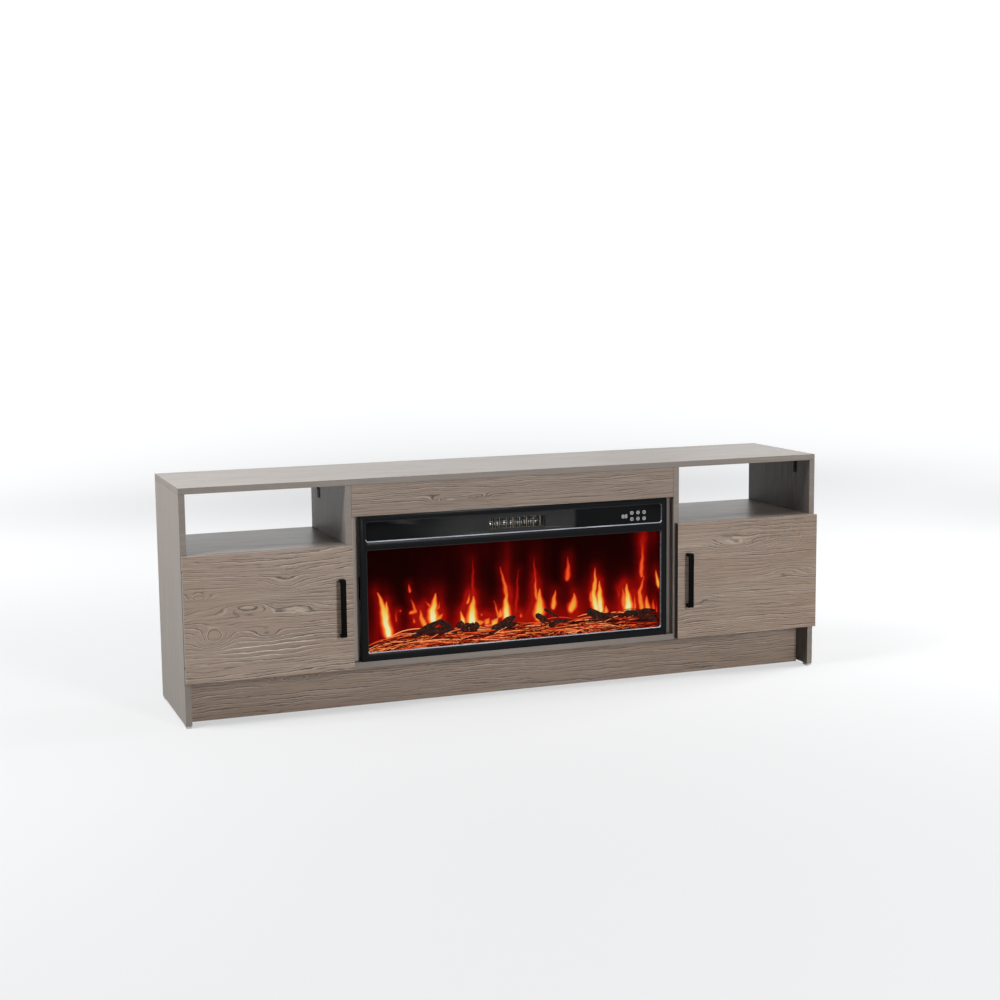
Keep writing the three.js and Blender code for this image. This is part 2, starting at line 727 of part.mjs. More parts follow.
function flameScreen() {
  const screenRear = screenFront + screenThickness;
  return box(-wallInner, wallInner, screenFront, screenRear, floorTop + fitGap, heatShelf - fitGap);
}

function flameRotor() {
  const end = wallInner - rotorMotorDepth;
  const shaft = bar('x', rotorShaft, -end - rotorSocket + fitGap, end + rotorSocket, rotorY, rotorZ, 12);
  const pitch = 2 * (end - rotorRadius) / rotorStations;
  const blades = Array.from({ length: rotorStations }, (_, i) => {
    const flag = new THREE.BoxGeometry(rotorBlade, rotorSheet, 2 * rotorRadius);
    return flag.rotateX(i * Math.PI * 0.3).translate(pitch * (i - (rotorStations - 1) / 2), rotorY, rotorZ);
  });
  return skin(join([shaft, ...blades]));
}

function rotorMotor() {
  const face = -wallInner + rotorMotorDepth;
  const can = bar('x', rotorMotorRadius, -wallInner, face, rotorY, rotorZ, 24);
  const socket = bar('x', boreRadius(rotorShaft), face - rotorSocket, face + overrun, rotorY, rotorZ);
  return skin(cut(solid(can), [socket]));
}

function rotorBearing() {
  const face = wallInner - rotorMotorDepth;
  const half = bearingSize / 2;
  const block = roundedShape(rotorY - half, rotorY + half, rotorZ - half, rotorZ + half, half / 3);
  const bore = bar('x', boreRadius(rotorShaft), face - overrun, wallInner + overrun, rotorY, rotorZ);
  return skin(cut(solid(slabYZ(block, face, wallInner)), [bore]));
}

function lightStrip() {
  const [y0, z0] = [screenFront + screenThickness + lampSize, floorTop + fitGap];
  const half = wallInner - rotorMotorDepth;
  const base = box(-half, half, y0, y0 + stripDepth, z0, z0 + stripThickness);
  const pitch = 2 * half / lampCount;
  const lampFront = y0 + (stripDepth - lampSize) / 2;
  const lamps = Array.from({ length: lampCount }, (_, i) => {
    const x = pitch * (i - (lampCount - 1) / 2);
    return box(x - lampSize / 2, x + lampSize / 2, lampFront, lampFront + lampSize,
      z0 + stripThickness / 2, z0 + stripThickness + lampHeight);
  });
  return skin(join([base, ...lamps]));
}

// Blower: a cross-flow wheel in a scroll that blows forward through the heater.
const wheelY = frontY + blowerSetback;
const scrollRadius = wheelRadius + scrollGap;
const wheelZ = shelfTop + fitGap + scrollSheet + scrollRadius;
const scrollHalf = wheelHalf + scrollMargin;
const heaterFront = housingFront + fitGap;
const ductFront = heaterFront + heaterDepth + fitGap;

function blowerWheel() {
  const [tipAngle, rootAngle] = [0.06, 0.16];
  const root = new THREE.Vector2(wheelInner * Math.cos(rootAngle), wheelInner * Math.sin(rootAngle));
  const blade = new THREE.Shape();
  blade.absarc(0, 0, wheelRadius, -tipAngle, tipAngle);
  blade.lineTo(root.x, root.y);
  blade.lineTo(root.x - bladeSheet / 3, root.y - bladeSheet);
  const turned = (angle) =>
    new THREE.Shape(blade.getPoints(1).map((p) => p.clone().rotateAround(new THREE.Vector2(), angle)));
  const blades = Array.from({ length: wheelBlades }, (_, i) =>
    slabYZ(turned(2 * Math.PI * i / wheelBlades), -wheelHalf, wheelHalf).translate(0, wheelY, wheelZ));
  const discs = [-wheelHalf, -wheelDisc / 2, wheelHalf - wheelDisc].map((x) =>
    bar('x', wheelRadius, x, x + wheelDisc, wheelY, wheelZ, wheelBlades));
  const shaftEnd = scrollHalf + scrollSheet;
  const shaft = bar('x', blowerShaft, -shaftEnd, shaftEnd + rotorSocket, wheelY, wheelZ, 12);
  return skin(join([shaft, ...discs, ...blades]));
}

function scrollStrip(outline) {
  return slabYZ(outline, -scrollHalf, scrollHalf, 12);
}

function blowerScroll() {
  const [r0, r1] = [scrollRadius, scrollRadius + scrollSheet];
  const front = ductFront;
  const snail = new THREE.Shape();
  snail.moveTo(front, wheelZ - r1);
  snail.lineTo(wheelY, wheelZ - r1);
  snail.absarc(wheelY, wheelZ, r1, -Math.PI / 2, Math.PI / 3);
  snail.absarc(wheelY, wheelZ, r0, Math.PI / 3, -Math.PI / 2, true);
  snail.lineTo(front, wheelZ - r0);
  const [lipShares, rootShares] = [[0.72, 0.62], [0.55, 0.76]];
  const tongue = polygon([[front, wheelZ + r0], [front, wheelZ + r0 - scrollSheet],
    [wheelY - lipShares[0] * r0, wheelZ + lipShares[1] * r0],
    [wheelY - rootShares[0] * r0, wheelZ + rootShares[1] * r0]]);
  const cheek = new THREE.Shape();
  cheek.moveTo(front, wheelZ - r1);
  cheek.lineTo(wheelY, wheelZ - r1);
  cheek.absarc(wheelY, wheelZ, r1, -Math.PI / 2, Math.PI / 2);
  cheek.lineTo(front, wheelZ + r1);
  const cheeks = [-scrollHalf - scrollSheet / 2, scrollHalf - scrollSheet / 2].map((x) =>
    slabYZ(cheek, x, x + scrollSheet, 12));
  const holeEnd = scrollHalf + overrun;
  const hole = bar('x', boreRadius(blowerShaft), -holeEnd, holeEnd, wheelY, wheelZ);
  return skin(cut(join([scrollStrip(snail), scrollStrip(tongue), ...cheeks]), [hole]));
}

function blowerMotor() {
  const start = scrollHalf + scrollSheet + fitGap;
  const can = bar('x', blowerMotorRadius, start, start + blowerMotorLength, wheelY, wheelZ, 20);
  const footHalf = blowerMotorRadius / 2;
  const foot = box(start + blowerMotorLength / 4, start + 3 * blowerMotorLength / 4,
    wheelY - footHalf, wheelY + footHalf, shelfTop + fitGap, wheelZ - footHalf);
  const socket = bar('x', boreRadius(blowerShaft), start - overrun, start + rotorSocket, wheelY, wheelZ);
  return skin(cut(join([can, foot]), [socket]));
}

// Heater: a mica frame with upright ribs on two legs, between the blower and the outlet.
function heater() {
  const [z0, z1] = [grilleBottom, grilleTop];
  const [y0, y1] = [heaterFront, heaterFront + heaterDepth];
  const innerHalf = heaterHalf - heaterFrame;
  const outer = box(-heaterHalf, heaterHalf, y0, y1, z0, z1);
  const hole = box(-innerHalf, innerHalf, y0 - overrun, y1 + overrun, z0 + heaterFrame, z1 - heaterFrame);
  const pitch = 2 * innerHalf / (heaterRibs + 1);
  const ribs = Array.from({ length: heaterRibs }, (_, i) => {
    const x = pitch * (i - (heaterRibs - 1) / 2);
    return box(x - heaterRib / 2, x + heaterRib / 2, y0 + heaterDepth / 4, y1 - heaterDepth / 4, z0, z1);
  });
  const legs = [-heaterHalf, innerHalf].map((x) =>
    box(x, x + heaterFrame, y0, y1, shelfTop + fitGap, z0 + heaterFrame));
  return skin(cut(solid(outer), [hole]).add(join([...ribs, ...legs])));
}

// The board stands behind the touch marks, with its display against the panel.
function controlBoard() {
  const middle = (panelBottom + panelTop) / 2;
  const back = glassFront + panelGlass + fitGap;
  const y0 = back + 2 * boardSheet;
  // ends along the board, and height, of the display and of the key block
  const [displayShares, keyShares] = [[-0.9, -0.3, 0.5], [-0.2, 0.9, 0.8]];
  const raised = ([from, to, tall]) => box(boardX + from * boardHalf, boardX + to * boardHalf,
    back, y0 + boardSheet / 2, middle - tall * displayHeight, middle + tall * displayHeight);
  const sheetBoard = box(boardX - boardHalf, boardX + boardHalf, y0, y0 + boardSheet,
    middle - displayHeight, middle + displayHeight);
  return skin(join([sheetBoard, raised(displayShares), raised(keyShares)]));
}

function buildInsert() {
  buildFront();
  add('insert_housing', housing(), blackSteel);
  add('rear_cover', rearCover(), blackSteel);
  add('cord_gland', cordGland(), blackPlastic);
  add('fuel_bed', fuelBed(), emberResin);
  add('flame_screen', flameScreen(), flameFilm);
  add('flame_rotor', flameRotor(), mirrorFoil);
  add('rotor_motor', rotorMotor(), zincSteel);
  add('rotor_bearing', rotorBearing(), blackPlastic);
  add('light_strip', lightStrip(), circuit);
  add('blower_wheel', blowerWheel(), zincSteel);
  add('blower_scroll', blowerScroll(), zincSteel);
  add('blower_motor', blowerMotor(), blackSteel);
  add('heating_element', heater(), mica);
  add('control_board', controlBoard(), circuit);
}

buildCarcass();
buildBacks();
buildGlides();
buildBrackets();
buildDoors();
buildInsert();

export default group;
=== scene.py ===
# Fireplace TV stand: grey oak laminate cabinet, two hinged doors and an electric fire in the middle bay
import json
import math

import bmesh
import bpy
import numpy as np
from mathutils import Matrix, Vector


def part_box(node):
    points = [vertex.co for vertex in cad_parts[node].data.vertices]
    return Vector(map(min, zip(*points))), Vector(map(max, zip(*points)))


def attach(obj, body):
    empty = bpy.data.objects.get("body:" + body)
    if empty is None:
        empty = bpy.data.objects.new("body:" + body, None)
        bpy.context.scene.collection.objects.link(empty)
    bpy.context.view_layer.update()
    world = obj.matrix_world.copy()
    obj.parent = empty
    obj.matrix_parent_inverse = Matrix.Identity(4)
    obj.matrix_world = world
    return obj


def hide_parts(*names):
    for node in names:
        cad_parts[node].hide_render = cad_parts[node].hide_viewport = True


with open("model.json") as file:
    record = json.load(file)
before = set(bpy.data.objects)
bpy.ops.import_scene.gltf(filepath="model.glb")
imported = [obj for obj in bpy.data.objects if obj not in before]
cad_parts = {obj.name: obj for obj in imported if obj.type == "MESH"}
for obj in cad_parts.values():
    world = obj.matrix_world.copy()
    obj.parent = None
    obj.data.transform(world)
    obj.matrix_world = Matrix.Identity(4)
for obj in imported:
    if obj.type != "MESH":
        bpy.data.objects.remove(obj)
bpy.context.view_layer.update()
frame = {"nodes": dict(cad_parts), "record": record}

scene = bpy.context.scene
nodes = frame["nodes"]
mm = 0.001
bodyOf = {name: body for body, names in frame["record"]["behaviour"]["bodies"].items() for name in names}
print("frame loaded:", len(nodes), "nodes")


# Camera, solved from the straight edges of the cabinet
camera = {
    "place": (-1.6082, -4.2951, 1.1279),
    "turn": (82.3493, 0.6717, -20.0131),  # degrees
    "lens": 60.8325,
    "sensor": 36.0,
    "shift": 0.02,
}


def newObject(name, data):
    made = bpy.data.objects.new(name, data)
    scene.collection.objects.link(made)
    return made


def buildCamera():
    data = bpy.data.cameras.new("camera")
    data.lens = camera["lens"]
    data.sensor_width = camera["sensor"]
    data.shift_x = camera["shift"]
    data.clip_end = 60
    scene.camera = newObject("camera", data)
    scene.camera.location = camera["place"]
    scene.camera.rotation_euler = [math.radians(angle) for angle in camera["turn"]]


buildCamera()
print("camera set")


# Small helpers for node trees: a value may be a number, a socket, or a node that gives its first output
def feed(socket, value):
    if isinstance(value, bpy.types.Node):
        value = value.outputs[0]
    if isinstance(value, bpy.types.NodeSocket):
        socket.id_data.links.new(value, socket)
    else:
        socket.default_value = value


def step(tree, kind, links=None, **settings):
    node = tree.nodes.new(kind)
    for key, value in settings.items():
        setattr(node, key, value)
    for key, value in (links or {}).items():
        feed(node.inputs[key], value)
    return node


def setSockets(shader, **values):
    for name, value in values.items():
        feed(shader.inputs[name.replace("_", " ")], value)


def emptyMaterial(name):
    material = bpy.data.materials.new(name)
    material.use_nodes = True
    material.node_tree.nodes.clear()
    return material, material.node_tree, material.node_tree.nodes.new("ShaderNodeOutputMaterial")


def newMaterial(name):
    material, tree, output = emptyMaterial(name)
    shader = tree.nodes.new("ShaderNodeBsdfPrincipled")
    feed(output.inputs["Surface"], shader)
    return material, tree, shader


def calc(tree, operation, *values, clamp=False):
    node = step(tree, "ShaderNodeMath", dict(enumerate(values)), operation=operation, use_clamp=clamp)
    return node.outputs[0]


def times(tree, first, second):
    return calc(tree, "MULTIPLY", first, second)


def timesPlus(tree, first, second, added):
    return calc(tree, "MULTIPLY_ADD", first, second, added)


def joined(tree, *parts):
    return step(tree, "ShaderNodeCombineXYZ", dict(enumerate(parts))).outputs[0]


def place(tree):
    return tree.nodes.new("ShaderNodeTexCoord").outputs["Object"]


def split(tree, vector):
    return step(tree, "ShaderNodeSeparateXYZ", {0: vector}).outputs


def noise(tree, vector, scale, detail=2.0, rough=0.5, twist=0.0):
    return step(tree, "ShaderNodeTexNoise", {"Vector": vector, "Scale": scale, "Detail": detail,
                                             "Roughness": rough, "Distortion": twist}).outputs[0]


def remap(tree, value, low, high, toLow=0.0, toHigh=1.0):
    return step(tree, "ShaderNodeMapRange", {
        "Value": value, "From Min": low, "From Max": high, "To Min": toLow, "To Max": toHigh},
        interpolation_type="SMOOTHSTEP").outputs[0]


def mixed(tree, factor, first, second, mode="MIX"):
    node = step(tree, "ShaderNodeMix", {0: factor}, data_type="RGBA", blend_type=mode)
    for socket, value in zip([socket for socket in node.inputs if socket.type == "RGBA"], (first, second)):
        feed(socket, (*value, 1) if isinstance(value, tuple) else value)
    return [socket for socket in node.outputs if socket.type == "RGBA"][0]


def ramp(tree, value, stops):
    node = step(tree, "ShaderNodeValToRGB", {0: value})
    elements = node.color_ramp.elements
    while len(elements) < len(stops):
        elements.new(0.5)
    for element, (position, colour) in zip(elements, stops):
        element.position = position
        element.color = (*colour, 1)
    return node.outputs[0]


def relief(tree, shader, height, strength, depth):
    setSockets(shader, Normal=step(tree, "ShaderNodeBump", {"Strength": strength, "Distance": depth,
                                                            "Height": height}))


# Oak laminate: lines of constant height in a warped field, with knots that push the field up.
# A grain is (scale along, scale across, shift) of its noise, per metre
oak = {
    "pale": (0.520, 0.425, 0.345),
    "base": (0.356, 0.266, 0.208),
    "warm": (0.318, 0.224, 0.164),
    "groove": (0.075, 0.055, 0.043),
    # colour of the painted highlight
    "gleam": (0.78, 0.72, 0.64),
    "rings": 78.0,  # broad lines per metre across the grain
    "finer": 2.1,  # how many fine lines to a broad one
    "warp": 3.0,  # how many lines the long waves push
    "wave": 0.6,
    "jitter": 0.14,
    "bends": {"warp": (1.7, 4.4), "wave": (11.0, 38.0), "jitter": (48.0, 190.0)},
    "broadWidth": 0.12,  # share of the spacing
    "fineWidth": 0.19,
    "broadStrength": 0.95,
    "fineStrength": 0.88,
    # strength of the pale rim beside each broad line, a painted highlight
    "rim": 0.75,
    "rimShift": 0.2,
    "fibre": 0.55,
    "tone": 0.35,
    "relief": 0.5,
    "depth": 0.0006,
    "roughness": 0.46,
    "specular": 0.45,
    "brightness": 1.0,
    "broadPatch": (0.40, 0.54),
    "finePatch": (0.42, 0.58),
    "crowdPatch": (0.40, 0.56),
    "broadGrain": (6.0, 52.0, 21.0),
    "fineGrain": (9.0, 120.0, 33.0),
    "crowdGrain": (3.2, 13.0, 90.0),
    "fibreGrain": (8.0, 360.0, 3.0),
    "toneGrain": (1.5, 11.0, 40.0),
    "bandGrain": (2.4, 80.0, 60.0),
    "fleckGrain": (150.0, 260.0, 75.0),
    "seed": 0.0,
    "knots": (),
    "flecks": None,
    # a patch of painted highlight, as (along, across, half length, half height)
    "shine": None,
    "calm": 0.65,  # share of the lines left where the grain is quiet
}


def bellAt(tree, along, across, spot):
    u, v = (times(tree, calc(tree, "SUBTRACT", value, centre), 1 / half)
            for value, centre, half in ((along, spot[0], spot[2]), (across, spot[1], spot[3])))
    squared = calc(tree, "ADD", times(tree, u, u), times(tree, v, v))
    return calc(tree, "EXPONENT", times(tree, squared, -1.0))


def contour(tree, height, width):
    line = calc(tree, "ABSOLUTE", calc(tree, "SUBTRACT", calc(tree, "FRACT", height), 0.5))
    return remap(tree, line, 0.5 - width, 0.5)


def oakMaterial(name, axes, **changes):
    look = {**oak, **changes}
    material, tree, shader = newMaterial(name)
    parts = split(tree, place(tree))
    along, across, deep = (parts["xyz".index(axis)] for axis in axes)

    def grain(scales, detail, rough=0.5):
        alongScale, acrossScale, shift = scales
        spot = joined(tree, timesPlus(tree, along, alongScale, look["seed"] + shift),
                      times(tree, across, acrossScale), times(tree, deep, acrossScale))
        return noise(tree, spot, 1.0, detail, rough)

    def painted(under, share, over):
        return mixed(tree, share, under, look[over])

    height = times(tree, calc(tree, "ADD", across, deep), look["rings"])
    for key, scales in look["bends"].items():
        height = timesPlus(tree, grain((*scales, scales[0]), 1.5), 2 * look[key], height)
    near = None
    for knot in look["knots"]:
        bell = bellAt(tree, along, across, knot)
        height = timesPlus(tree, bell, knot[4], height)
        near = bell if near is None else calc(tree, "MAXIMUM", near, bell)
    crowd = remap(tree, grain(look["crowdGrain"], 1.0), *look["crowdPatch"], look["calm"], 1.0)
    broadly = times(tree, remap(tree, grain(look["broadGrain"], 2.0), *look["broadPatch"]), crowd)
    finely = times(tree, remap(tree, grain(look["fineGrain"], 2.0), *look["finePatch"]), crowd)
    if near is not None:
        broadly = calc(tree, "MAXIMUM", broadly, remap(tree, near, 0.12, 0.6, 0.0, 0.8))
    broad = times(tree, contour(tree, height, look["broadWidth"]), broadly)
    fine = times(tree, contour(tree, times(tree, height, look["finer"]), look["fineWidth"]), finely)
    beside = contour(tree, calc(tree, "ADD", height, look["rimShift"]), look["broadWidth"])
    rim = times(tree, beside, broadly)
    fibre = grain(look["fibreGrain"], 3.0, 0.65)

    tone = remap(tree, grain(look["toneGrain"], 3.0, 0.55), 0.32, 0.68, 0.0, 2 * look["tone"])
    bands = remap(tree, grain(look["bandGrain"], 2.0), 0.5, 0.75, 0.0, look["tone"])
    colour = painted(painted(look["base"], tone, "warm"), bands, "pale")
    colour = painted(colour, remap(tree, fibre, 0.5, 0.78, 0.0, look["fibre"]), "groove")
    if look["flecks"]:
        spots = remap(tree, grain(look["fleckGrain"], 2.0, 0.6), 0.52, 0.66, 0.0, 0.45)
        colour = painted(colour, times(tree, spots, bellAt(tree, along, across, look["flecks"])), "groove")
    colour = painted(colour, times(tree, fine, look["fineStrength"]), "groove")
    # painted highlight: a pale rim beside each broad line; the same rim is also raised in the bump
    colour = painted(colour, times(tree, rim, look["rim"]), "pale")
    # painted highlight: pale streaks beside the lines in one patch, where the grooves catch the light
    if look["shine"]:
        around = calc(tree, "MULTIPLY", bellAt(tree, along, across, look["shine"]), 1.3, clamp=True)
        colour = painted(colour, times(tree, beside, around), "gleam")
    colour = painted(colour, times(tree, broad, look["broadStrength"]), "groove")
    if look["brightness"] != 1:
        colour = mixed(tree, 1.0, colour, (look["brightness"],) * 3, "MULTIPLY")
    surface = timesPlus(tree, rim, 0.4, times(tree, broad, -1.0))
    surface = timesPlus(tree, fibre, 0.25, timesPlus(tree, fine, -0.4, surface))
    relief(tree, shader, surface, look["relief"], look["depth"])
    rough = remap(tree, fibre, 0.3, 0.7, look["roughness"] - 0.05, look["roughness"] + 0.08)
    setSockets(shader, Base_Color=colour, Roughness=rough, Specular_IOR_Level=look["specular"])
    return material


# Knots are (along, across, half length, half height, lines pushed), in metres
leftDoorKnots = (
    (-0.862, 0.333, 0.026, 0.012, 2.6),
    (-0.735, 0.306, 0.075, 0.020, -2.6),
    (-0.826, 0.229, 0.034, 0.024, 3.6),
    (-0.640, 0.352, 0.050, 0.022, 1.6),
    (-0.600, 0.296, 0.050, 0.014, -1.4),
    (-0.690, 0.228, 0.040, 0.014, 1.5),
)
rightDoorKnots = (
    (0.640, 0.372, 0.080, 0.016, 1.8),
    (0.545, 0.230, 0.050, 0.016, -1.5),
    (0.800, 0.290, 0.070, 0.018, -1.6),
)
headerKnots = (
    (-0.190, 0.541, 0.050, 0.010, 3.0),
    (-0.118, 0.545, 0.034, 0.008, 2.2),
)
plinthKnots = ((-0.600, 0.088, 0.060, 0.011, 2.6),)
quiet = {"base": (0.285, 0.245, 0.215), "warm": (0.262, 0.222, 0.192), "broadStrength": 0.12,
         "fineStrength": 0.14, "rim": 0.06, "fibre": 0.2, "relief": 0.12, "tone": 0.22, "specular": 0.35}


def quietOak(name, axes, **changes):
    return oakMaterial(name, axes, **{**quiet, **changes})


looks = {
    # the left door has a patch of painted highlight low on its face
    "leftDoor": oakMaterial("oakLeftDoor", "xzy", knots=leftDoorKnots, seed=3.0,
                            flecks=(-0.625, 0.392, 0.035, 0.030), shine=(-0.695, 0.198, 0.120, 0.022)),
    "rightDoor": oakMaterial("oakRightDoor", "xzy", knots=rightDoorKnots, seed=15.3, rings=92.0, warp=1.5,
                             broadStrength=0.85, finePatch=(0.36, 0.54), flecks=(0.780, 0.390, 0.180, 0.065)),
    "header": oakMaterial("oakHeader", "xzy", knots=headerKnots, seed=27.0, rings=92.0, warp=1.5,
                          broadStrength=0.8, brightness=0.76),
    "plinth": oakMaterial("oakPlinth", "xzy", knots=plinthKnots, seed=33.0, warp=1.6, brightness=0.93,
                          flecks=(-0.600, 0.088, 0.080, 0.014)),
    "flat": quietOak("oakFlat", "xyz", seed=41.0, roughness=0.36, brightness=0.82),
    "side": quietOak("oakSide", "zyx", seed=52.0),
    # painted shade: a darker copy of the side oak for the niche face of the right side panel
    "sideShade": quietOak("oakSideShade", "zyx", seed=52.0, roughness=0.5, fibre=0.5, fineStrength=0.4,
                          brightness=0.44),
    # painted light and shade: the left filler strip is a lighter copy and the right one a darker copy of the
    # same oak
    "leftFiller": quietOak("oakLeftFillerPaintedLight", "zxy", seed=61.0, fineStrength=0.3, brightness=1.25),
    "rightFiller": quietOak("oakRightFillerPaintedShade", "zxy", seed=63.0, fineStrength=0.3, brightness=0.62),
    "edge": quietOak("oakEdge", "xyz", seed=71.0, rings=300.0, relief=0.06, brightness=0.88),
}
print("oak materials made")


# Other finishes
mottle = {"detail": 4.0, "rough": 0.6, "depth": 0.0002, "grain": 0.02}


def mottled(name, colours, roughness, scale, metallic=0.0, specular=0.5, stretch=(1, 1, 1), strength=0.2):
    material, tree, shader = newMaterial(name)
    mapping = step(tree, "ShaderNodeMapping", {"Vector": place(tree), "Scale": stretch})
    spots = noise(tree, mapping, scale, mottle["detail"], mottle["rough"])
    relief(tree, shader, spots, strength, mottle["depth"])
    grain = mottle["grain"]
    setSockets(shader, Base_Color=mixed(tree, remap(tree, spots, 0.35, 0.65), *colours),
               Roughness=remap(tree, spots, 0.3, 0.7, roughness - grain, roughness + grain),
               Metallic=metallic, Specular_IOR_Level=specular)
    return material


finishes = {
    "blackGloss": mottled("blackGlossPaint", ((0.0070, 0.0078, 0.0084), (0.0100, 0.0108, 0.0114)), 0.24, 900,
                          specular=0.06, strength=0.03),
    "blackMetal": mottled("blackSheetPaint", ((0.012, 0.012, 0.013), (0.022, 0.022, 0.023)), 0.45, 1400,
                          metallic=0.3, strength=0.15),
    "handleMetal": mottled("handleBlack", ((0.0010, 0.0010, 0.0011), (0.0022, 0.0022, 0.0024)), 0.4, 1800,
                           specular=0.04, strength=0.12),
    "outletGrey": mottled("outletGrey", ((0.020, 0.021, 0.022), (0.034, 0.035, 0.036)), 0.5, 1500,
                          specular=0.15, strength=0.1),
    # painted shade: a near-black finish on the doors' closing edges, where shade falls between door and
    # partition
    "closingEdgeShade": mottled("closingEdgePaintedShade", ((0.016, 0.013, 0.010), (0.030, 0.024, 0.019)), 0.6, 700,
                        specular=0.15, stretch=(1, 1, 0.1)),
    "blackPlastic": mottled("blackPlastic", ((0.015, 0.015, 0.016), (0.024, 0.024, 0.026)), 0.5, 2200,
                            specular=0.3, strength=0.2),
    "zinc": mottled("zincPlate", ((0.48, 0.49, 0.50), (0.62, 0.63, 0.64)), 0.32, 380, metallic=1.0,
                    stretch=(1, 1, 0.25)),
    "foil": mottled("mirrorFoil", ((0.70, 0.71, 0.72), (0.84, 0.85, 0.86)), 0.16, 240, metallic=1.0),
    "circuit": mottled("circuitBoard", ((0.010, 0.062, 0.030), (0.018, 0.100, 0.048)), 0.45, 320),
    "mica": mottled("micaSheet", ((0.36, 0.28, 0.18), (0.52, 0.43, 0.30)), 0.5, 160),
    "backBoard": mottled("backBoard", ((0.26, 0.22, 0.19), (0.34, 0.29, 0.25)), 0.75, 700, specular=0.2,
                         stretch=(1, 1, 0.1)),
    # painted reflections on the trims: a bright bluish one for the bottom strips and a soft grey one for the
    # right strips
    "trimBright": mottled("trimBright", ((0.40, 0.43, 0.50), (0.62, 0.65, 0.72)), 0.4, 120, metallic=0.15,
                          stretch=(0.1, 1, 1)),
    "trimSoft": mottled("trimSoft", ((0.070, 0.070, 0.076), (0.150, 0.145, 0.150)), 0.4, 90, metallic=0.15,
                        stretch=(0.1, 1, 1)),
    "nylon": mottled("glideNylon", ((0.56, 0.56, 0.55), (0.66, 0.66, 0.65)), 0.5, 900, specular=0.3),
    "trimDark": mottled("trimDark", ((0.012, 0.013, 0.015), (0.020, 0.021, 0.023)), 0.25, 300, specular=0.3),
}


def smokedGlass():
    material, tree, shader = newMaterial("windowGlass")
    smears = noise(tree, place(tree), 7.0, 3.0)
    setSockets(shader, Roughness=remap(tree, smears, 0.3, 0.7, 0.02, 0.06), Alpha=0.08,
               Base_Color=(0.002, 0.002, 0.002, 1), Specular_IOR_Level=0.0)
    return material


# The panel is darkest at its ends, with a painted reflection as a lighter band across its middle
panelTint = {"dark": (0.0060, 0.0064, 0.0070), "smoky": (0.0410, 0.0420, 0.0405), "left": (-0.33, -0.13),
             "right": (0.158, 0.172), "specular": 0.05, "roughness": (0.11, 0.18)}


def panelGlass():
    material, tree, shader = newMaterial("blackPanelGlass")
    spot = place(tree)
    x = split(tree, spot)[0]
    # share of the painted reflection, highest across the middle of the panel
    middle = times(tree, remap(tree, x, *panelTint["left"]), remap(tree, x, *panelTint["right"], 1.0, 0.0))
    cloud = noise(tree, spot, 9.0, 3.0)
    middle = times(tree, middle, remap(tree, cloud, 0.2, 0.8, 0.7, 1.0))
    setSockets(shader, Base_Color=mixed(tree, middle, panelTint["dark"], panelTint["smoky"]),
               Roughness=remap(tree, cloud, 0.3, 0.7, *panelTint["roughness"]),
               Specular_IOR_Level=panelTint["specular"])
    return material


finishes["windowGlass"] = smokedGlass()
finishes["panelGlass"] = panelGlass()
print("other finishes made")


# Meshes
def pieceName(node):
    first, *rest = node.split("_")
    return first + "".join(word.capitalize() for word in rest)


def addPiece(mesh, node=None):
    piece = newObject(mesh.name, mesh)
    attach(piece, bodyOf.get(node, "cabinet"))
    if node:
        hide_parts(node)


def evaluated(source, name):  # the mesh that the modifiers make, without its source
    bpy.context.view_layer.update()
    mesh = bpy.data.meshes.new_from_object(source.evaluated_get(bpy.context.evaluated_depsgraph_get()))
    mesh.name = name
    bpy.data.objects.remove(source)
    return mesh


def meshFrom(work, name, finish=None, outward=True):
    if outward:
        bmesh.ops.recalc_face_normals(work, faces=work.faces)
    mesh = bpy.data.meshes.new(name)
    work.to_mesh(mesh)
    work.free()
    if finish:
        mesh.materials.append(finishes[finish])
    return mesh


def skinRows(work, rows):  # faces between each closed row of points and the next
    for lower, upper in zip(rows, rows[1:]):
        for k, point in enumerate(lower):
            n = (k + 1) % len(lower)
            work.faces.new((point, lower[n], upper[n], upper[k]))


def gridFaces(columns, rows):
    across = columns + 1
    return [(a, a + 1, a + across + 1, a + across) for j in range(rows)
            for a in range(j * across, j * across + columns)]


def smoothed(mesh, sharpAngle):
    mesh.shade_smooth()
    mesh.set_sharp_from_angle(angle=math.radians(sharpAngle))


def mergedCopy(node, name):
    work = bmesh.new()
    work.from_mesh(nodes[node].data)
    bmesh.ops.remove_doubles(work, verts=work.verts, dist=2e-5)
    bmesh.ops.dissolve_limit(work, angle_limit=math.radians(1), verts=work.verts, edges=work.edges)
    return meshFrom(work, name, outward=False)


def softenedMesh(node, width, segments=2):
    name = pieceName(node)
    source = newObject(name + "Rough", mergedCopy(node, name + "Rough"))
    bevel = source.modifiers.new("arris", "BEVEL")
    bevel.width = width
    bevel.segments = segments
    bevel.limit_method = "ANGLE"
    bevel.angle_limit = math.radians(40)
    mesh = evaluated(source, name)
    mesh.materials.clear()
    return mesh


def softenedPiece(node, width, finish, segments=2):
    mesh = softenedMesh(node, width, segments)
    smoothed(mesh, 35)
    mesh.materials.append(finishes[finish])
    addPiece(mesh, node)


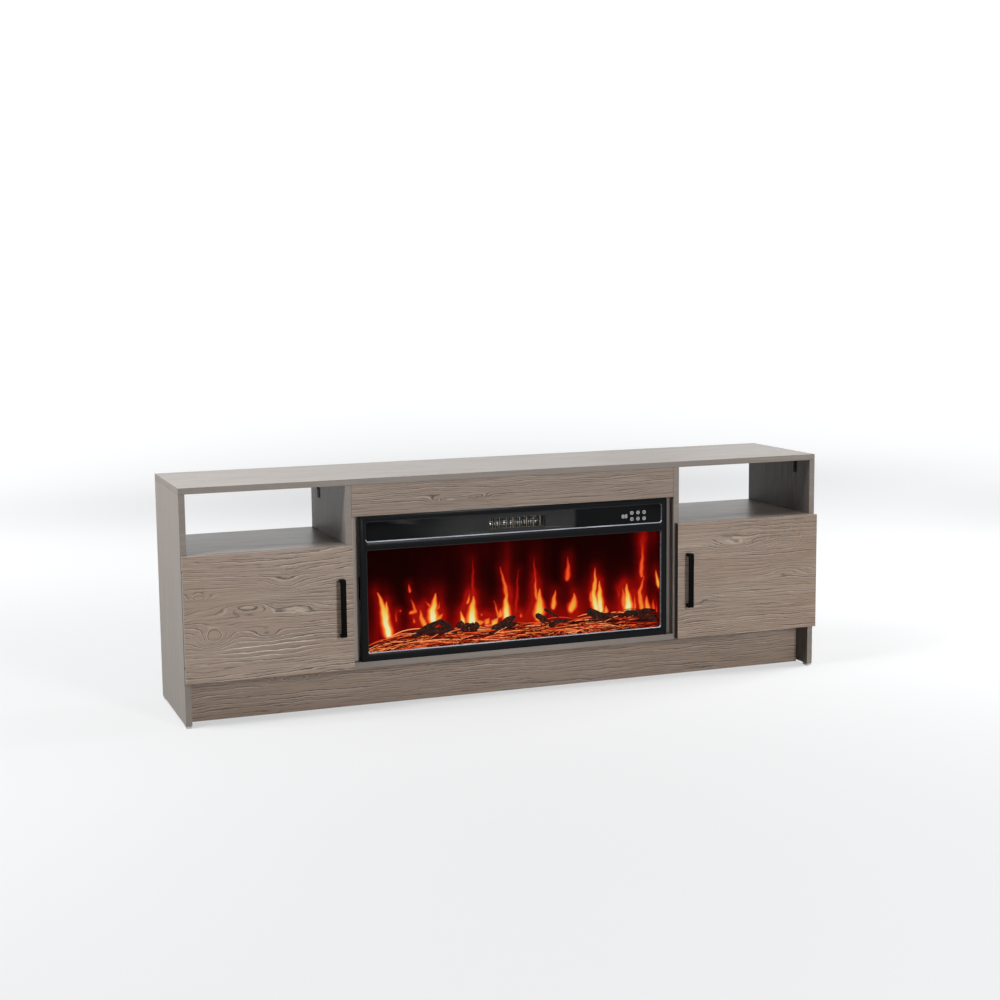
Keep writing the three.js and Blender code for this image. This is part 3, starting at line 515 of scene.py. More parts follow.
# Boards: softened arrises, grain on the two faces and an edge band round them
boards = {
    "arris": 0.0006,
    "looks": {
        "top_panel": "flat", "bottom_panel": "flat", "left_shelf": "flat", "right_shelf": "flat",
        "left_side_panel": "side", "right_side_panel": "side", "left_partition": "side",
        "right_partition": "side", "header_panel": "header", "front_plinth": "plinth",
        "rear_rail": "header", "left_filler_strip": "leftFiller", "right_filler_strip": "rightFiller",
        "left_door": "leftDoor", "right_door": "rightDoor",
    },
    # faces with a look of their own, and which way along x they point: painted shade on the doors' closing
    # edges and on the inner face of the right side panel
    "special": {"left_door": (1, finishes["closingEdgeShade"]), "right_door": (-1, finishes["closingEdgeShade"]),
                "right_side_panel": (-1, looks["sideShade"])},
}


def buildBoard(node, look):
    mesh = softenedMesh(node, boards["arris"])
    low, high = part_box(node)
    thin = min(range(3), key=lambda axis: (high - low)[axis])
    towards, *special = boards["special"].get(node, (0,))
    for material in (looks[look], looks["edge"], *special):
        mesh.materials.append(material)
    for face in mesh.polygons:
        face.material_index = 0 if abs(face.normal[thin]) > 0.98 else 1
        if face.normal.x * towards > 0.9:
            face.material_index = 2
    addPiece(mesh, node)


for node, look in boards["looks"].items():
    buildBoard(node, look)
print("boards made")


# Metal and plastic pieces that keep their shape
plainNodes = {
    "backBoard": ["left_back_panel", "right_back_panel"],
    "blackPlastic": ["cord_gland", "rotor_bearing"],
    "nylon": ["left_front_glide", "left_rear_glide", "right_front_glide", "right_rear_glide"],
    "blackMetal": ["insert_housing", "rear_cover", "blower_motor"],
    "zinc": [f"{side}_{place}_{part}" for side in ("left", "right") for place in ("lower", "upper")
             for part in ("handle_screw", "hinge_plate", "hinge_leaf")]
            + ["blower_scroll", "blower_wheel", "rotor_motor"],
    "foil": ["flame_rotor"],
    "circuit": ["control_board", "light_strip"],
    "mica": ["heating_element"],
}
for finish, names in plainNodes.items():
    for node in names:
        nodes[node].data.materials.clear()
        nodes[node].data.materials.append(finishes[finish])

# Angle brackets under the top: a long leg on the wall, a short one on the top, a screw in each
brackets = {"wallLeg": {"inner": 0.062, "outer": 0.042}, "width": {"inner": 0.019, "outer": 0.011},
            "topLeg": 0.028, "sheet": 0.002, "bend": 0.0025, "bendPoints": 6, "screw": 0.003, "head": 0.0014,
            "headRings": ((0.0, 1.0), (0.6, 0.86), (1.0, 0.45)),  # share of the height, share of the radius
            "screwShare": 0.6, "sides": 14}


def screwHead(work, centre, across, inward):
    rows = []
    for rise, reach in brackets["headRings"]:
        row = []
        for k in range(brackets["sides"]):
            angle = 2 * math.pi * k / brackets["sides"]
            spot = Vector(centre) + Vector(inward) * brackets["head"] * rise
            spot[1] += brackets["screw"] * reach * math.cos(angle)
            spot[across] += brackets["screw"] * reach * math.sin(angle)
            row.append(work.verts.new(spot))
        rows.append(row)
    skinRows(work, rows)
    work.faces.new(rows[0])
    work.faces.new(rows[-1])


def buildBracket(side, kind):
    node = f"{side}_{kind}_bracket"
    low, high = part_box(node)
    towards = (1 if side == "right" else -1) * (1 if kind == "inner" else -1)  # away from the wall
    wall = low.x if towards > 0 else high.x
    leg, half = brackets["wallLeg"][kind], brackets["width"][kind] / 2
    sheet, bend, topLeg = brackets["sheet"], brackets["bend"], brackets["topLeg"]
    outline = [(0, 0), (0, -leg), (sheet, -leg)]
    for k in range(brackets["bendPoints"]):
        angle = math.pi * (1 - 0.5 * k / (brackets["bendPoints"] - 1))
        outline.append((sheet + bend + bend * math.cos(angle), -sheet - bend + bend * math.sin(angle)))
    outline += [(topLeg, -sheet), (topLeg, 0)]
    middle = (low.y + high.y) / 2
    work = bmesh.new()
    rows = [[work.verts.new((wall + towards * u, y, high.z + v)) for u, v in outline]
            for y in (middle - half, middle + half)]
    skinRows(work, rows)
    for row in rows:
        work.faces.new(row)
    share = brackets["screwShare"]
    screwHead(work, (wall + towards * sheet, middle, high.z - leg * share), 2, (towards, 0, 0))
    screwHead(work, (wall + towards * topLeg * share, middle, high.z - sheet), 0, (0, 0, -1))
    addPiece(meshFrom(work, pieceName(node), "handleMetal"), node)


for side in ("left", "right"):
    for kind in ("inner", "outer"):
        buildBracket(side, kind)
    softenedPiece(f"{side}_handle", 0.0009, "handleMetal", 3)
softenedPiece("front_frame", 0.0006, "blackGloss")
softenedPiece("control_panel", 0.0003, "panelGlass")
softenedPiece("window_glass", 0.0004, "windowGlass")
print("frame and handles made")


# Trims: black, with a painted reflection: bright along the bottom, softer up the right
trims = {"corner": 0.0095, "softReflectionTop": {"panel_trim": 1.0, "window_trim": 0.36}}
for node in ("panel_trim", "window_trim"):
    mesh = mergedCopy(node, pieceName(node))
    low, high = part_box(node)
    corner = trims["corner"]
    for finish in ("trimDark", "trimBright", "trimSoft"):
        mesh.materials.append(finishes[finish])
    for face in mesh.polygons:
        atBottom = face.center.z < low.z + corner
        atRight = face.center.x > high.x - corner / 2 and face.center.z < trims["softReflectionTop"][node]
        face.material_index = 1 if atBottom else 2 if atRight else 0
    addPiece(mesh, node)


# Geometry Nodes helpers
def newTree(name, **sizes):
    tree = bpy.data.node_groups.new(name, "GeometryNodeTree")
    for direction in ("INPUT", "OUTPUT"):
        tree.interface.new_socket("Geometry", in_out=direction, socket_type="NodeSocketGeometry")
    for label, kind in sizes.items():
        tree.interface.new_socket(label, in_out="INPUT", socket_type="NodeSocket" + kind)
    return tree, tree.nodes.new("NodeGroupInput").outputs


def closeTree(tree, geometry, finish):
    solid = step(tree, "GeometryNodeRealizeInstances", {"Geometry": geometry})
    step(tree, "NodeGroupOutput", {
        0: step(tree, "GeometryNodeSetMaterial", {"Geometry": solid, "Material": finishes[finish]})})
    return tree


def copied(tree, points, thing, turn=(0, 0, 0), size=(1, 1, 1)):
    return step(tree, "GeometryNodeInstanceOnPoints", {"Points": points, "Instance": thing, "Rotation": turn,
                                                       "Scale": size})


def randomBetween(tree, seed, low, high, kind="FLOAT_VECTOR"):
    node = step(tree, "FunctionNodeRandomValue", {"Seed": seed}, data_type=kind)
    first = 0 if kind == "FLOAT_VECTOR" else 2
    feed(node.inputs[first], low)
    feed(node.inputs[first + 1], high)
    return node.outputs[first // 2]


def withGlow(tree, copies, seed):  # each copy gets a random number that its material reads
    glow = randomBetween(tree, seed, 0.0, 1.0, "FLOAT")
    return step(tree, "GeometryNodeStoreNamedAttribute", {"Geometry": copies, "Name": "glow", "Value": glow},
                data_type="FLOAT", domain="INSTANCE")


def grown(name, base, tree, values):
    source = newObject(name + "Source", base)
    modifier = source.modifiers.new("grow", "NODES")
    modifier.node_group = tree
    for item in tree.interface.items_tree:
        if item.in_out == "INPUT" and item.name in values:
            modifier[item.identifier] = values[item.name]
    return evaluated(source, name)


# Warm-air outlet: a row of upright rounded fins in a bezel
outlet = {"fins": 26, "pitch": 0.0064, "finWidth": 0.0026, "finDepth": 0.0034, "finSides": 10,
          "border": 0.003, "corner": 0.003, "flange": 0.004, "plate": 0.0022, "plateShare": 0.6,
          "clear": 0.0001, "arcs": 5}


def finTree():
    tree, given = newTree("finRow", Fins="Int", Pitch="Float", Width="Float", Depth="Float", Height="Float",
                          Sides="Int")
    rod = step(tree, "GeometryNodeMeshCylinder", {"Vertices": given["Sides"], "Radius": 0.5, "Depth": 1.0})
    fin = step(tree, "GeometryNodeTransform", {
        "Geometry": rod, "Scale": joined(tree, given["Width"], given["Depth"], given["Height"])})
    start = step(tree, "GeometryNodeMeshToPoints", {"Mesh": given["Geometry"]})
    line = step(tree, "GeometryNodeMeshLine", {"Count": given["Fins"],
                                               "Offset": joined(tree, given["Pitch"])})
    row = step(tree, "GeometryNodeRealizeInstances", {"Geometry": copied(tree, start, line)})
    return closeTree(tree, copied(tree, row, fin), "outletGrey")


def roundedLoop(low, high, radius):
    loop = []
    arcs = outlet["arcs"]
    for cornerX, cornerZ, start in ((high[0], low[1], -0.5), (high[0], high[1], 0.0), (low[0], high[1], 0.5),
                                    (low[0], low[1], 1.0)):
        centreX = cornerX + (-radius if cornerX == high[0] else radius)
        centreZ = cornerZ + (-radius if cornerZ == high[1] else radius)
        for k in range(arcs + 1):
            angle = math.pi * (start + 0.5 * k / arcs)
            loop.append((centreX + radius * math.cos(angle), centreZ + radius * math.sin(angle)))
    return loop


def ringBetween(work, outer, inner, front, back):
    rows = [[work.verts.new((x, y, z)) for x, z in loop]
            for loop, y in ((outer, back), (outer, front), (inner, front), (inner, back))]
    skinRows(work, rows + rows[:1])


def buildOutlet():
    low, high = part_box("outlet_grille")
    flange, border, clear = outlet["flange"], outlet["border"], outlet["clear"]

    def loop(inset, radius):
        return roundedLoop((low.x + inset, low.z + inset), (high.x - inset, high.z - inset), radius)

    work = bmesh.new()
    ringBetween(work, loop(flange, outlet["corner"]), loop(flange + border, border / 6), low.y, high.y)
    ringBetween(work, loop(0, flange / 4), loop(flange - clear, outlet["corner"]),
                high.y - outlet["plate"] * outlet["plateShare"], high.y)
    addPiece(meshFrom(work, "outletBezel", "outletGrey"), "outlet_grille")
    base = bpy.data.meshes.new("finStart")
    startX = (low.x + high.x - outlet["pitch"] * (outlet["fins"] - 1)) / 2
    base.from_pydata([(startX, low.y + outlet["finDepth"] / 2 + clear, (low.z + high.z) / 2)], [], [])
    fins = grown("outletFins", base, finTree(), {
        "Fins": outlet["fins"], "Pitch": outlet["pitch"], "Width": outlet["finWidth"],
        "Depth": outlet["finDepth"], "Height": high.z - low.z - 2 * (flange + border),
        "Sides": outlet["finSides"]})
    addPiece(fins, "outlet_grille")


buildOutlet()


# Marks on the touch panel: two plain digits and six rings
marks = {
    "columns": (0.333, 0.3515, 0.370),
    "rows": (0.4755, 0.4585),
    "ring": 0.0046,
    "line": 0.0011,
    "dot": (1.2, 0.3),  # outer and inner radius, as shares of the line
    "digits": (0.3065, 0.3155),
    "digitSize": (0.0055, 0.0084),
    "level": 0.467,
    "proud": 0.00012,
    "sides": 28,
}


def markMaterial():
    material, tree, shader = newMaterial("printedMarks")
    wear = remap(tree, noise(tree, place(tree), 900.0), 0.3, 0.7)
    colour = mixed(tree, wear, (0.50, 0.50, 0.50), (0.62, 0.62, 0.62))
    setSockets(shader, Base_Color=colour, Emission_Color=colour, Roughness=0.5, Emission_Strength=0.35)
    return material


def markPlate(work, corners, front, back):
    rows = [[work.verts.new((x, y, z)) for x, z in corners] for y in (front, back)]
    for row in rows:
        work.faces.new(row)
    skinRows(work, rows)


def barMark(work, x, z, halfX, halfZ, front, back):
    corners = [(x + u * halfX, z + v * halfZ) for u, v in ((-1, -1), (1, -1), (1, 1), (-1, 1))]
    markPlate(work, corners, front, back)


def ringMark(work, x, z, outer, inner, front, back):
    for k in range(marks["sides"]):
        a, b = (2 * math.pi * (k + i) / marks["sides"] for i in (0, 1))
        corners = [(x + r * math.cos(t), z + r * math.sin(t)) for r, t in
                   ((inner, a), (outer, a), (outer, b), (inner, b))]
        markPlate(work, corners, front, back)


def buildMarks():
    work = bmesh.new()
    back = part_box("control_panel")[0].y
    front = back - marks["proud"]
    line = marks["line"]
    for z in marks["rows"]:
        for x in marks["columns"]:
            ringMark(work, x, z, marks["ring"], marks["ring"] - line, front, back)
            ringMark(work, x, z, *(share * line for share in marks["dot"]), front, back)
    width, height = marks["digitSize"]
    for x in marks["digits"]:
        for share in (-0.5, 0, 0.5):
            barMark(work, x, marks["level"] + share * height, width / 2, line / 2, front, back)
        for share in (-0.5, 0.5):
            barMark(work, x + share * width, marks["level"], line / 2, height / 2, front - line / 16, back)
    addPiece(meshFrom(work, "touchMarks", "printedMarks"))


finishes["printedMarks"] = markMaterial()
buildMarks()
print("insert front made")


# Flame picture: each tongue is a line from its foot to its tip, a half width and a heat, in millimetres
flames = {
    "spacing": 2.0,
    "tongues": [
        ([(-350, 180), (-357, 215), (-362, 246), (-370, 275), (-378, 300)], 10.5, 1.0),
        ([(-356, 225), (-358, 250), (-356, 274)], 8, 0.95), ([(-292, 297), (-293, 317)], 3.2, 0.52),
        ([(-291, 240), (-275, 243), (-279, 258), (-287, 275)], 4.4, 0.62),
        ([(-319, 247), (-319, 251)], 3, 0.45), ([(-281, 214), (-282, 226)], 3.2, 0.55),
        ([(-329, 221), (-331, 248)], 2.6, 0.42), ([(-252, 204), (-260, 225), (-261, 246)], 7, 0.74),
        ([(-225, 206), (-228, 240), (-219, 286)], 11.5, 1.0), ([(-219, 210), (-200, 230)], 9, 0.74),
        ([(-237, 254), (-248, 267)], 2.4, 0.55), ([(-213, 245), (-209, 262)], 2.6, 0.5),
        ([(-121, 190), (-117, 213), (-115, 240), (-113, 270)], 13, 1.0),
        ([(-113, 255), (-114, 372)], 5, 0.30), ([(-143, 196), (-149, 232)], 6, 0.95),
        ([(-108, 196), (-82, 199)], 9, 0.74), ([(-129, 254), (-124, 278)], 3.4, 0.66),
        ([(-89, 218), (-88, 222)], 3, 0.55), ([(-42, 208), (-54, 254)], 3, 0.60),
        ([(-55, 190), (-42, 206)], 9, 0.86), ([(-76, 196), (-66, 208)], 8, 0.70),
        ([(-17, 262), (-26, 308), (-34, 345)], 5.2, 0.60), ([(-20, 205), (-19, 230), (-18, 272)], 10, 0.96),
        ([(-37, 212), (-36, 230)], 7, 0.70), ([(9, 216), (12, 270), (17, 335)], 5, 0.30),
        ([(23, 205), (24, 214)], 4, 0.55), ([(76, 198), (77, 235), (79, 276)], 12.5, 0.90),
        ([(69, 250), (67, 285), (65, 315)], 3.6, 0.62), ([(65, 305), (63, 362)], 4, 0.32),
        ([(118, 222), (121, 240), (124, 268)], 6.4, 0.76), ([(161, 298), (162, 358)], 6.4, 0.52),
        ([(172, 212), (179, 232), (179, 257)], 10, 0.80), ([(241, 262), (243, 322)], 4.6, 0.80),
        ([(246, 202), (240, 240), (237, 284)], 9.5, 0.97), ([(258, 202), (257, 240), (254, 284)], 9, 0.97),
        ([(232, 232), (230, 258)], 6, 0.64), ([(274, 196), (276, 215)], 6, 0.72),
        ([(314, 238), (307, 265)], 2.6, 0.36), ([(344, 190), (341, 225), (338, 270)], 11, 1.0),
        ([(330, 212), (326, 260)], 8, 0.62), ([(362, 188), (362, 241)], 4, 0.58),
        ([(383, 290), (386, 384)], 5.6, 0.54), ([(386, 360), (385, 410)], 6, 0.30),
        ([(383, 192), (378, 245), (389, 288)], 7, 0.68), ([(401, 187), (399, 233)], 8, 0.76),
        ([(420, 192), (420, 221)], 5, 0.50), ([(434, 188), (433, 212)], 4, 0.45),
        ([(444, 264), (427, 303)], 8, 0.90),
    ],
    # red haze: centre x and z, half width, half height, strength
    "haze": [
        (-362, 230, 26, 70, 0.07), (-225, 230, 42, 90, 0.07), (-118, 240, 36, 110, 0.06),
        (-20, 270, 26, 110, 0.06), (78, 270, 24, 110, 0.08), (45, 230, 20, 90, 0.05),
        (162, 320, 18, 50, 0.05), (248, 240, 40, 90, 0.06), (345, 230, 40, 70, 0.06),
        (388, 330, 22, 110, 0.11), (432, 280, 22, 90, 0.05), (405, 405, 34, 34, 0.12),
        (0, 170, 440, 58, 0.23), (-60, 395, 120, 40, 0.018), (-20, 345, 16, 60, 0.08),
    ],
    "reach": (1.5, 8.0, 0.14),  # halo round a tongue: share of its half width, plus mm, strength
    "spread": 1.5,  # drawn half width, as a share of the tongue's own
    "foot": (0.6, 0.25, 0.6),  # width share at the foot, the share of the way to full width, how fast
    "taper": (1.04, 0.75),
    "core": (1.34, 1.35, 1.3),  # heat in the middle, how sharply it ends, least width in mm
    "cooling": 0.36,  # how much less heat at the tip
    "hazeLimit": 0.25,
    "streaks": ((0.24, 0.041, 0.6), (0.16, 0.097, 2.1), (0.10, 0.203, 4.0)),  # strength, waves per mm, phase
    "backdrop": (0.0095, 0.0003, 0.0003),
    "ramp": [
        (0.00, (0.000, 0.000, 0.000)), (0.10, (0.090, 0.001, 0.001)), (0.22, (0.300, 0.003, 0.002)),
        (0.38, (0.700, 0.020, 0.006)), (0.52, (1.000, 0.110, 0.020)), (0.66, (1.000, 0.260, 0.030)),
        (0.80, (1.000, 0.470, 0.045)), (0.90, (1.000, 0.720, 0.130)), (1.00, (1.000, 0.970, 0.560)),
    ],
    "wobble": ((1.1, 0.085, 0.0), (0.6, 0.230, 1.3)),  # push in mm, waves per mm, phase
}


def tongueHeat(x, z, line, halfWidth, heat):
    points = np.array(line, float)
    pieces = points[1:] - points[:-1]
    lengths = np.hypot(pieces[:, 0], pieces[:, 1])
    total = lengths.sum()
    best = np.full(x.shape, 1e9)
    along = np.zeros(x.shape)
    start = 0.0
    for point, piece, length in zip(points[:-1], pieces, lengths):
        share = ((x - point[0]) * piece[0] + (z - point[1]) * piece[1]) / length ** 2
        share = np.clip(share, 0, 1)
        gap = np.hypot(x - point[0] - share * piece[0], z - point[1] - share * piece[1])
        closer = gap < best
        best = np.where(closer, gap, best)
        along = np.where(closer, (start + share * length) / total, along)
        start += length
    foot, full, pace = flames["foot"]
    tip, fall = flames["taper"]
    width = flames["spread"] * halfWidth * (foot + (1 - foot) * np.minimum(1, along / full) ** pace)
    width = width * (tip - along) ** fall
    middle, edge, least = flames["core"]
    core = np.clip(middle * np.exp(-(best / np.maximum(width, least)) ** edge), 0, 1)
    core = core * (1 - flames["cooling"] * along ** 2)
    share, extra, strength = flames["reach"]
    halo = strength * np.exp(-(best / (share * halfWidth + extra)) ** 2)
    return heat * core, heat * halo


def flameColours(x, z):
    bent = x.copy()
    for push, rate, phase in flames["wobble"]:
        bent = bent + push * np.sin(rate * z + phase + 0.05 * x)
    hot = np.zeros(x.shape)
    soft = np.zeros(x.shape)
    for line, halfWidth, heat in flames["tongues"]:
        core, halo = tongueHeat(bent, z, line, halfWidth, heat)
        hot = np.maximum(hot, core)
        soft = soft + halo
    for cx, cz, spanX, spanZ, strength in flames["haze"]:
        soft = soft + strength * np.exp(-((x - cx) / spanX) ** 2 - ((z - cz) / spanZ) ** 2)
    streak = np.ones(x.shape)
    for strength, rate, phase in flames["streaks"]:
        streak = streak + strength * np.sin(rate * bent + phase)
    soft = np.minimum(soft * streak, flames["hazeLimit"])
    value = np.clip(np.maximum(hot, soft), 0, 1)
    stops = np.array([stop for stop, _ in flames["ramp"]])
    colours = np.array([colour for _, colour in flames["ramp"]])
    made = np.stack([np.interp(value, stops, colours[:, k]) for k in range(3)], axis=-1)
    return made + np.array(flames["backdrop"])


def glowMaterial():
    material, tree, shader = newMaterial("flamePicture")
    colour = step(tree, "ShaderNodeAttribute", attribute_name="fireColour")
    grain = remap(tree, noise(tree, place(tree), 500.0), 0.2, 0.8, 0.0, 0.08)
    setSockets(shader, Emission_Color=mixed(tree, grain, colour, (0, 0, 0)), Emission_Strength=1.0,
               Base_Color=(0.001, 0.0005, 0.0005, 1), Roughness=0.8, Specular_IOR_Level=0.0)
    return material


def pictureMesh(name, top, start, across, thick, width, pictureStart, share):
    gap = flames["spacing"] * mm
    columns = int(width / gap)
    rows = int((top - start[2]) / gap)
    gridU, gridZ = np.meshgrid(np.linspace(0, width, columns + 1), np.linspace(start[2], top, rows + 1))
    count = gridU.size
    points = np.array(start) + gridU.ravel()[:, None] * np.array(across)
    points[:, 2] = gridZ.ravel()
    order = np.arange(count).reshape(gridU.shape)
    faces = gridFaces(columns, rows)
    for k, edge in enumerate((order[0], order[:, -1], order[-1, ::-1], order[::-1, 0])):
        faces.append((*edge[::-1].tolist(), count + k, count + (k + 1) % 4))
    faces.append((count + 3, count + 2, count + 1, count))
    rear = points[order[[0, 0, -1, -1], [0, -1, -1, 0]]] + np.array(thick)
    mesh = bpy.data.meshes.new(name)
    mesh.from_pydata(np.vstack([points, rear]).tolist(), [], faces)
    colours = np.zeros((count + 4, 4), np.float32)
    colours[:count, :3] = share * flameColours(pictureStart + gridU.ravel() / mm, gridZ.ravel() / mm)
    colours[:, 3] = 1
    mesh.attributes.new("fireColour", "FLOAT_COLOR", "POINT").data.foreach_set("color", colours.ravel())
    mesh.materials.append(finishes["flamePicture"])
    return mesh


# The flame picture runs on round the side walls of the firebox
sideGlow = {"thick": 0.0008, "clear": 0.0003, "share": 0.85}


def buildFlames():
    low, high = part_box("flame_screen")
    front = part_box("fuel_bed")[0].y
    depth = low.y - sideGlow["clear"] - front
    thick, share = sideGlow["thick"], sideGlow["share"]
    sheets = {  # first corner, way along, thickness, width, where the picture starts in mm, strength, node
        "flameScreen": (low, (1, 0, 0), (0, high.y - low.y, 0), high.x - low.x, low.x / mm, 1.0,
                        "flame_screen"),
        "rightSideGlow": ((high.x - thick, front + depth, low.z), (0, -1, 0), (thick, 0, 0), depth,
                          high.x / mm, share, None),
        "leftSideGlow": ((low.x + thick, front, low.z), (0, 1, 0), (-thick, 0, 0), depth,
                         low.x / mm - depth / mm, share, None),
    }
    for name, (*sheet, node) in sheets.items():
        addPiece(pictureMesh(name, high.z, *sheet), node)


finishes["flamePicture"] = glowMaterial()
buildFlames()
print("flame picture made")


# Fuel bed: tray, charred logs, glowing strands and small embers
bed = {
    "logs": [  # start and end as (x, depth share, z) in millimetres, half thickness, how wedge-like
        ((-300, 0.80, 186), (-262, 0.60, 190), 4.5, 0.5), ((-292, 0.50, 178), (-206, 0.60, 218), 9.5, 0.3),
        ((-212, 0.56, 214), (-166, 0.50, 176), 10.5, 0.5),
        ((-254, 0.46, 187), (-188, 0.50, 188), 11.0, 0.4),
        ((-162, 0.62, 206), (-130, 0.50, 170), 11.0, 0.6),
        ((-104, 0.66, 200), (-136, 0.52, 172), 10.5, 0.6), ((-148, 0.60, 197), (-116, 0.62, 197), 6.0, 0.2),
        ((-76, 0.45, 168), (4, 0.72, 210), 12.0, 0.4), ((-66, 0.75, 178), (10, 0.78, 190), 8.0, 0.3),
        ((62, 0.66, 210), (112, 0.48, 174), 8.5, 0.3), ((96, 0.50, 180), (172, 0.62, 188), 7.0, 0.6),
        ((88, 0.80, 222), (132, 0.70, 194), 4.0, 0.5), ((214, 0.72, 206), (304, 0.48, 166), 11.5, 0.5),
        ((250, 0.60, 196), (330, 0.66, 184), 6.0, 0.5), ((344, 0.50, 168), (424, 0.52, 170), 15.0, 0.2),
        ((326, 0.80, 188), (424, 0.84, 192), 8.0, 0.3),
    ],
    "sides": 14,
    "rings": 18,
    "bend": (0.12, 9),  # share of the thickness, waves along
    "swell": (1.5, 0.12, 11),  # how the wedge thins, how much it waves, waves along
    "ends": (0.44, 0.06, 0.7),  # from this share off the middle, over this share, thinner by this
    "flat": 0.8,
    "knobs": ((0.16, 3, 3, 1), (0.12, 5, -7, 2), (0.08, 9, 31, 0)),  # size, waves round, along, shift
    "sink": 0.0015,  # how far the tray lies below the embers' heap
    "strands": 1000,
    "strandLength": 0.135,
    "strandThickness": 0.00115,
    "strandSize": (0.35, 1.25),
    "strandSpin": ((0.0, -0.13, -0.36), (6.28, 0.13, 0.36)),
    "sag": 0.15,  # share of the length
    "lean": (-0.430, -0.250, 0.34),  # from x, to x, tilt of the strands at the first
    "ground": 0.82 * 0.05,  # square metres that the strands lie on
    "rubble": 42000.0,  # stones per square metre
    "rubbleSize": 0.0017,
    "rubbleReach": 0.3,
    "stone": ((0.4, 0.4, 0.4), (1.6, 1.2, 1.0)),
    "heap": {"front": 0.0175, "step": 0.006, "rise": 0.028, "from": 0.415, "run": 0.13, "wave": 0.0022,
             "rates": (61, 23)},
    "grid": (140, 8),
    "inset": 0.0008,
    "seed": 11,
    "barkRamp": [(0.34, (0.002, 0.002, 0.002)), (0.58, (0.014, 0.010, 0.008)), (0.78, (0.060, 0.046, 0.035))],
    "emberRamp": [(0.28, (0.012, 0.001, 0.001)), (0.44, (0.160, 0.007, 0.003)), (0.58, (0.500, 0.030, 0.006)),
                  (0.74, (0.850, 0.090, 0.018)), (0.92, (1.000, 0.340, 0.110))],
}


def barkMaterial():
    material, tree, shader = newMaterial("charredLog")
    spot = place(tree)
    bark = noise(tree, spot, 160.0, 5.0, 0.65, 0.6)
    cracks = calc(tree, "SUBTRACT", noise(tree, spot, 48.0, 3.0, 0.6, 1.5), 0.5)
    glow = remap(tree, calc(tree, "ABSOLUTE", cracks), 0.0, 0.012, 1.0, 0.0)
    warmth = mixed(tree, bark, (0.004, 0.001, 0.001), (0.030, 0.007, 0.003))
    relief(tree, shader, bark, 0.8, 0.002)
    setSockets(shader, Base_Color=ramp(tree, bark, bed["barkRamp"]), Emission_Strength=0.7, Roughness=0.85,
               Emission_Color=mixed(tree, glow, warmth, (0.50, 0.050, 0.010)), Specular_IOR_Level=0.2)
    return material


def emberMaterial():
    material, tree, shader = newMaterial("emberStrands")
    spot = place(tree)
    mottle = noise(tree, spot, 16.0, 3.0, 0.6)
    x = split(tree, spot)[0]
    fade = times(tree, remap(tree, x, 0.30, 0.42, 1.0, 0.62), remap(tree, x, -0.30, -0.05, 1.08, 0.96))
    glow = step(tree, "ShaderNodeAttribute", attribute_name="glow").outputs["Fac"]
    value = timesPlus(tree, calc(tree, "POWER", glow, 1.7), 0.80, times(tree, mottle, 0.48))
    colour = ramp(tree, times(tree, value, fade), bed["emberRamp"])
    relief(tree, shader, mottle, 0.4, 0.001)
    setSockets(shader, Base_Color=mixed(tree, 0.94, colour, (0.008, 0.003, 0.002)), Emission_Color=colour,
               Roughness=0.7, Emission_Strength=1.1, Specular_IOR_Level=0.05)
    return material


finishes["bark"] = barkMaterial()
finishes["ember"] = emberMaterial()


bedLow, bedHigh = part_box("fuel_bed")


def heapHeight(x, share):
    heap = bed["heap"]
    rise = np.clip((x + heap["from"]) / heap["run"], 0, 1)
    front = bedLow.z + heap["front"]
    back = front + heap["step"] + heap["rise"] * rise
    first, second = heap["rates"]
    ripple = heap["wave"] * (math.sin(x * first) + math.sin(x * second + 1) - 1)
    return front + (back - front) * share + ripple * share


def heapMesh(name, sink=0.0, reach=1.0):
    columns, rows = bed["grid"]
    inset = bed["inset"]
    points = []
    for j in range(rows + 1):
        share = reach * j / rows
        y = bedLow.y + inset + (bedHigh.y - bedLow.y - 2 * inset) * share
        for i in range(columns + 1):
            x = bedLow.x + inset + (bedHigh.x - bedLow.x - 2 * inset) * i / columns
            points.append((x, y, heapHeight(x, share) - sink))
    mesh = bpy.data.meshes.new(name)
    mesh.from_pydata(points, [], gridFaces(columns, rows))
    return mesh


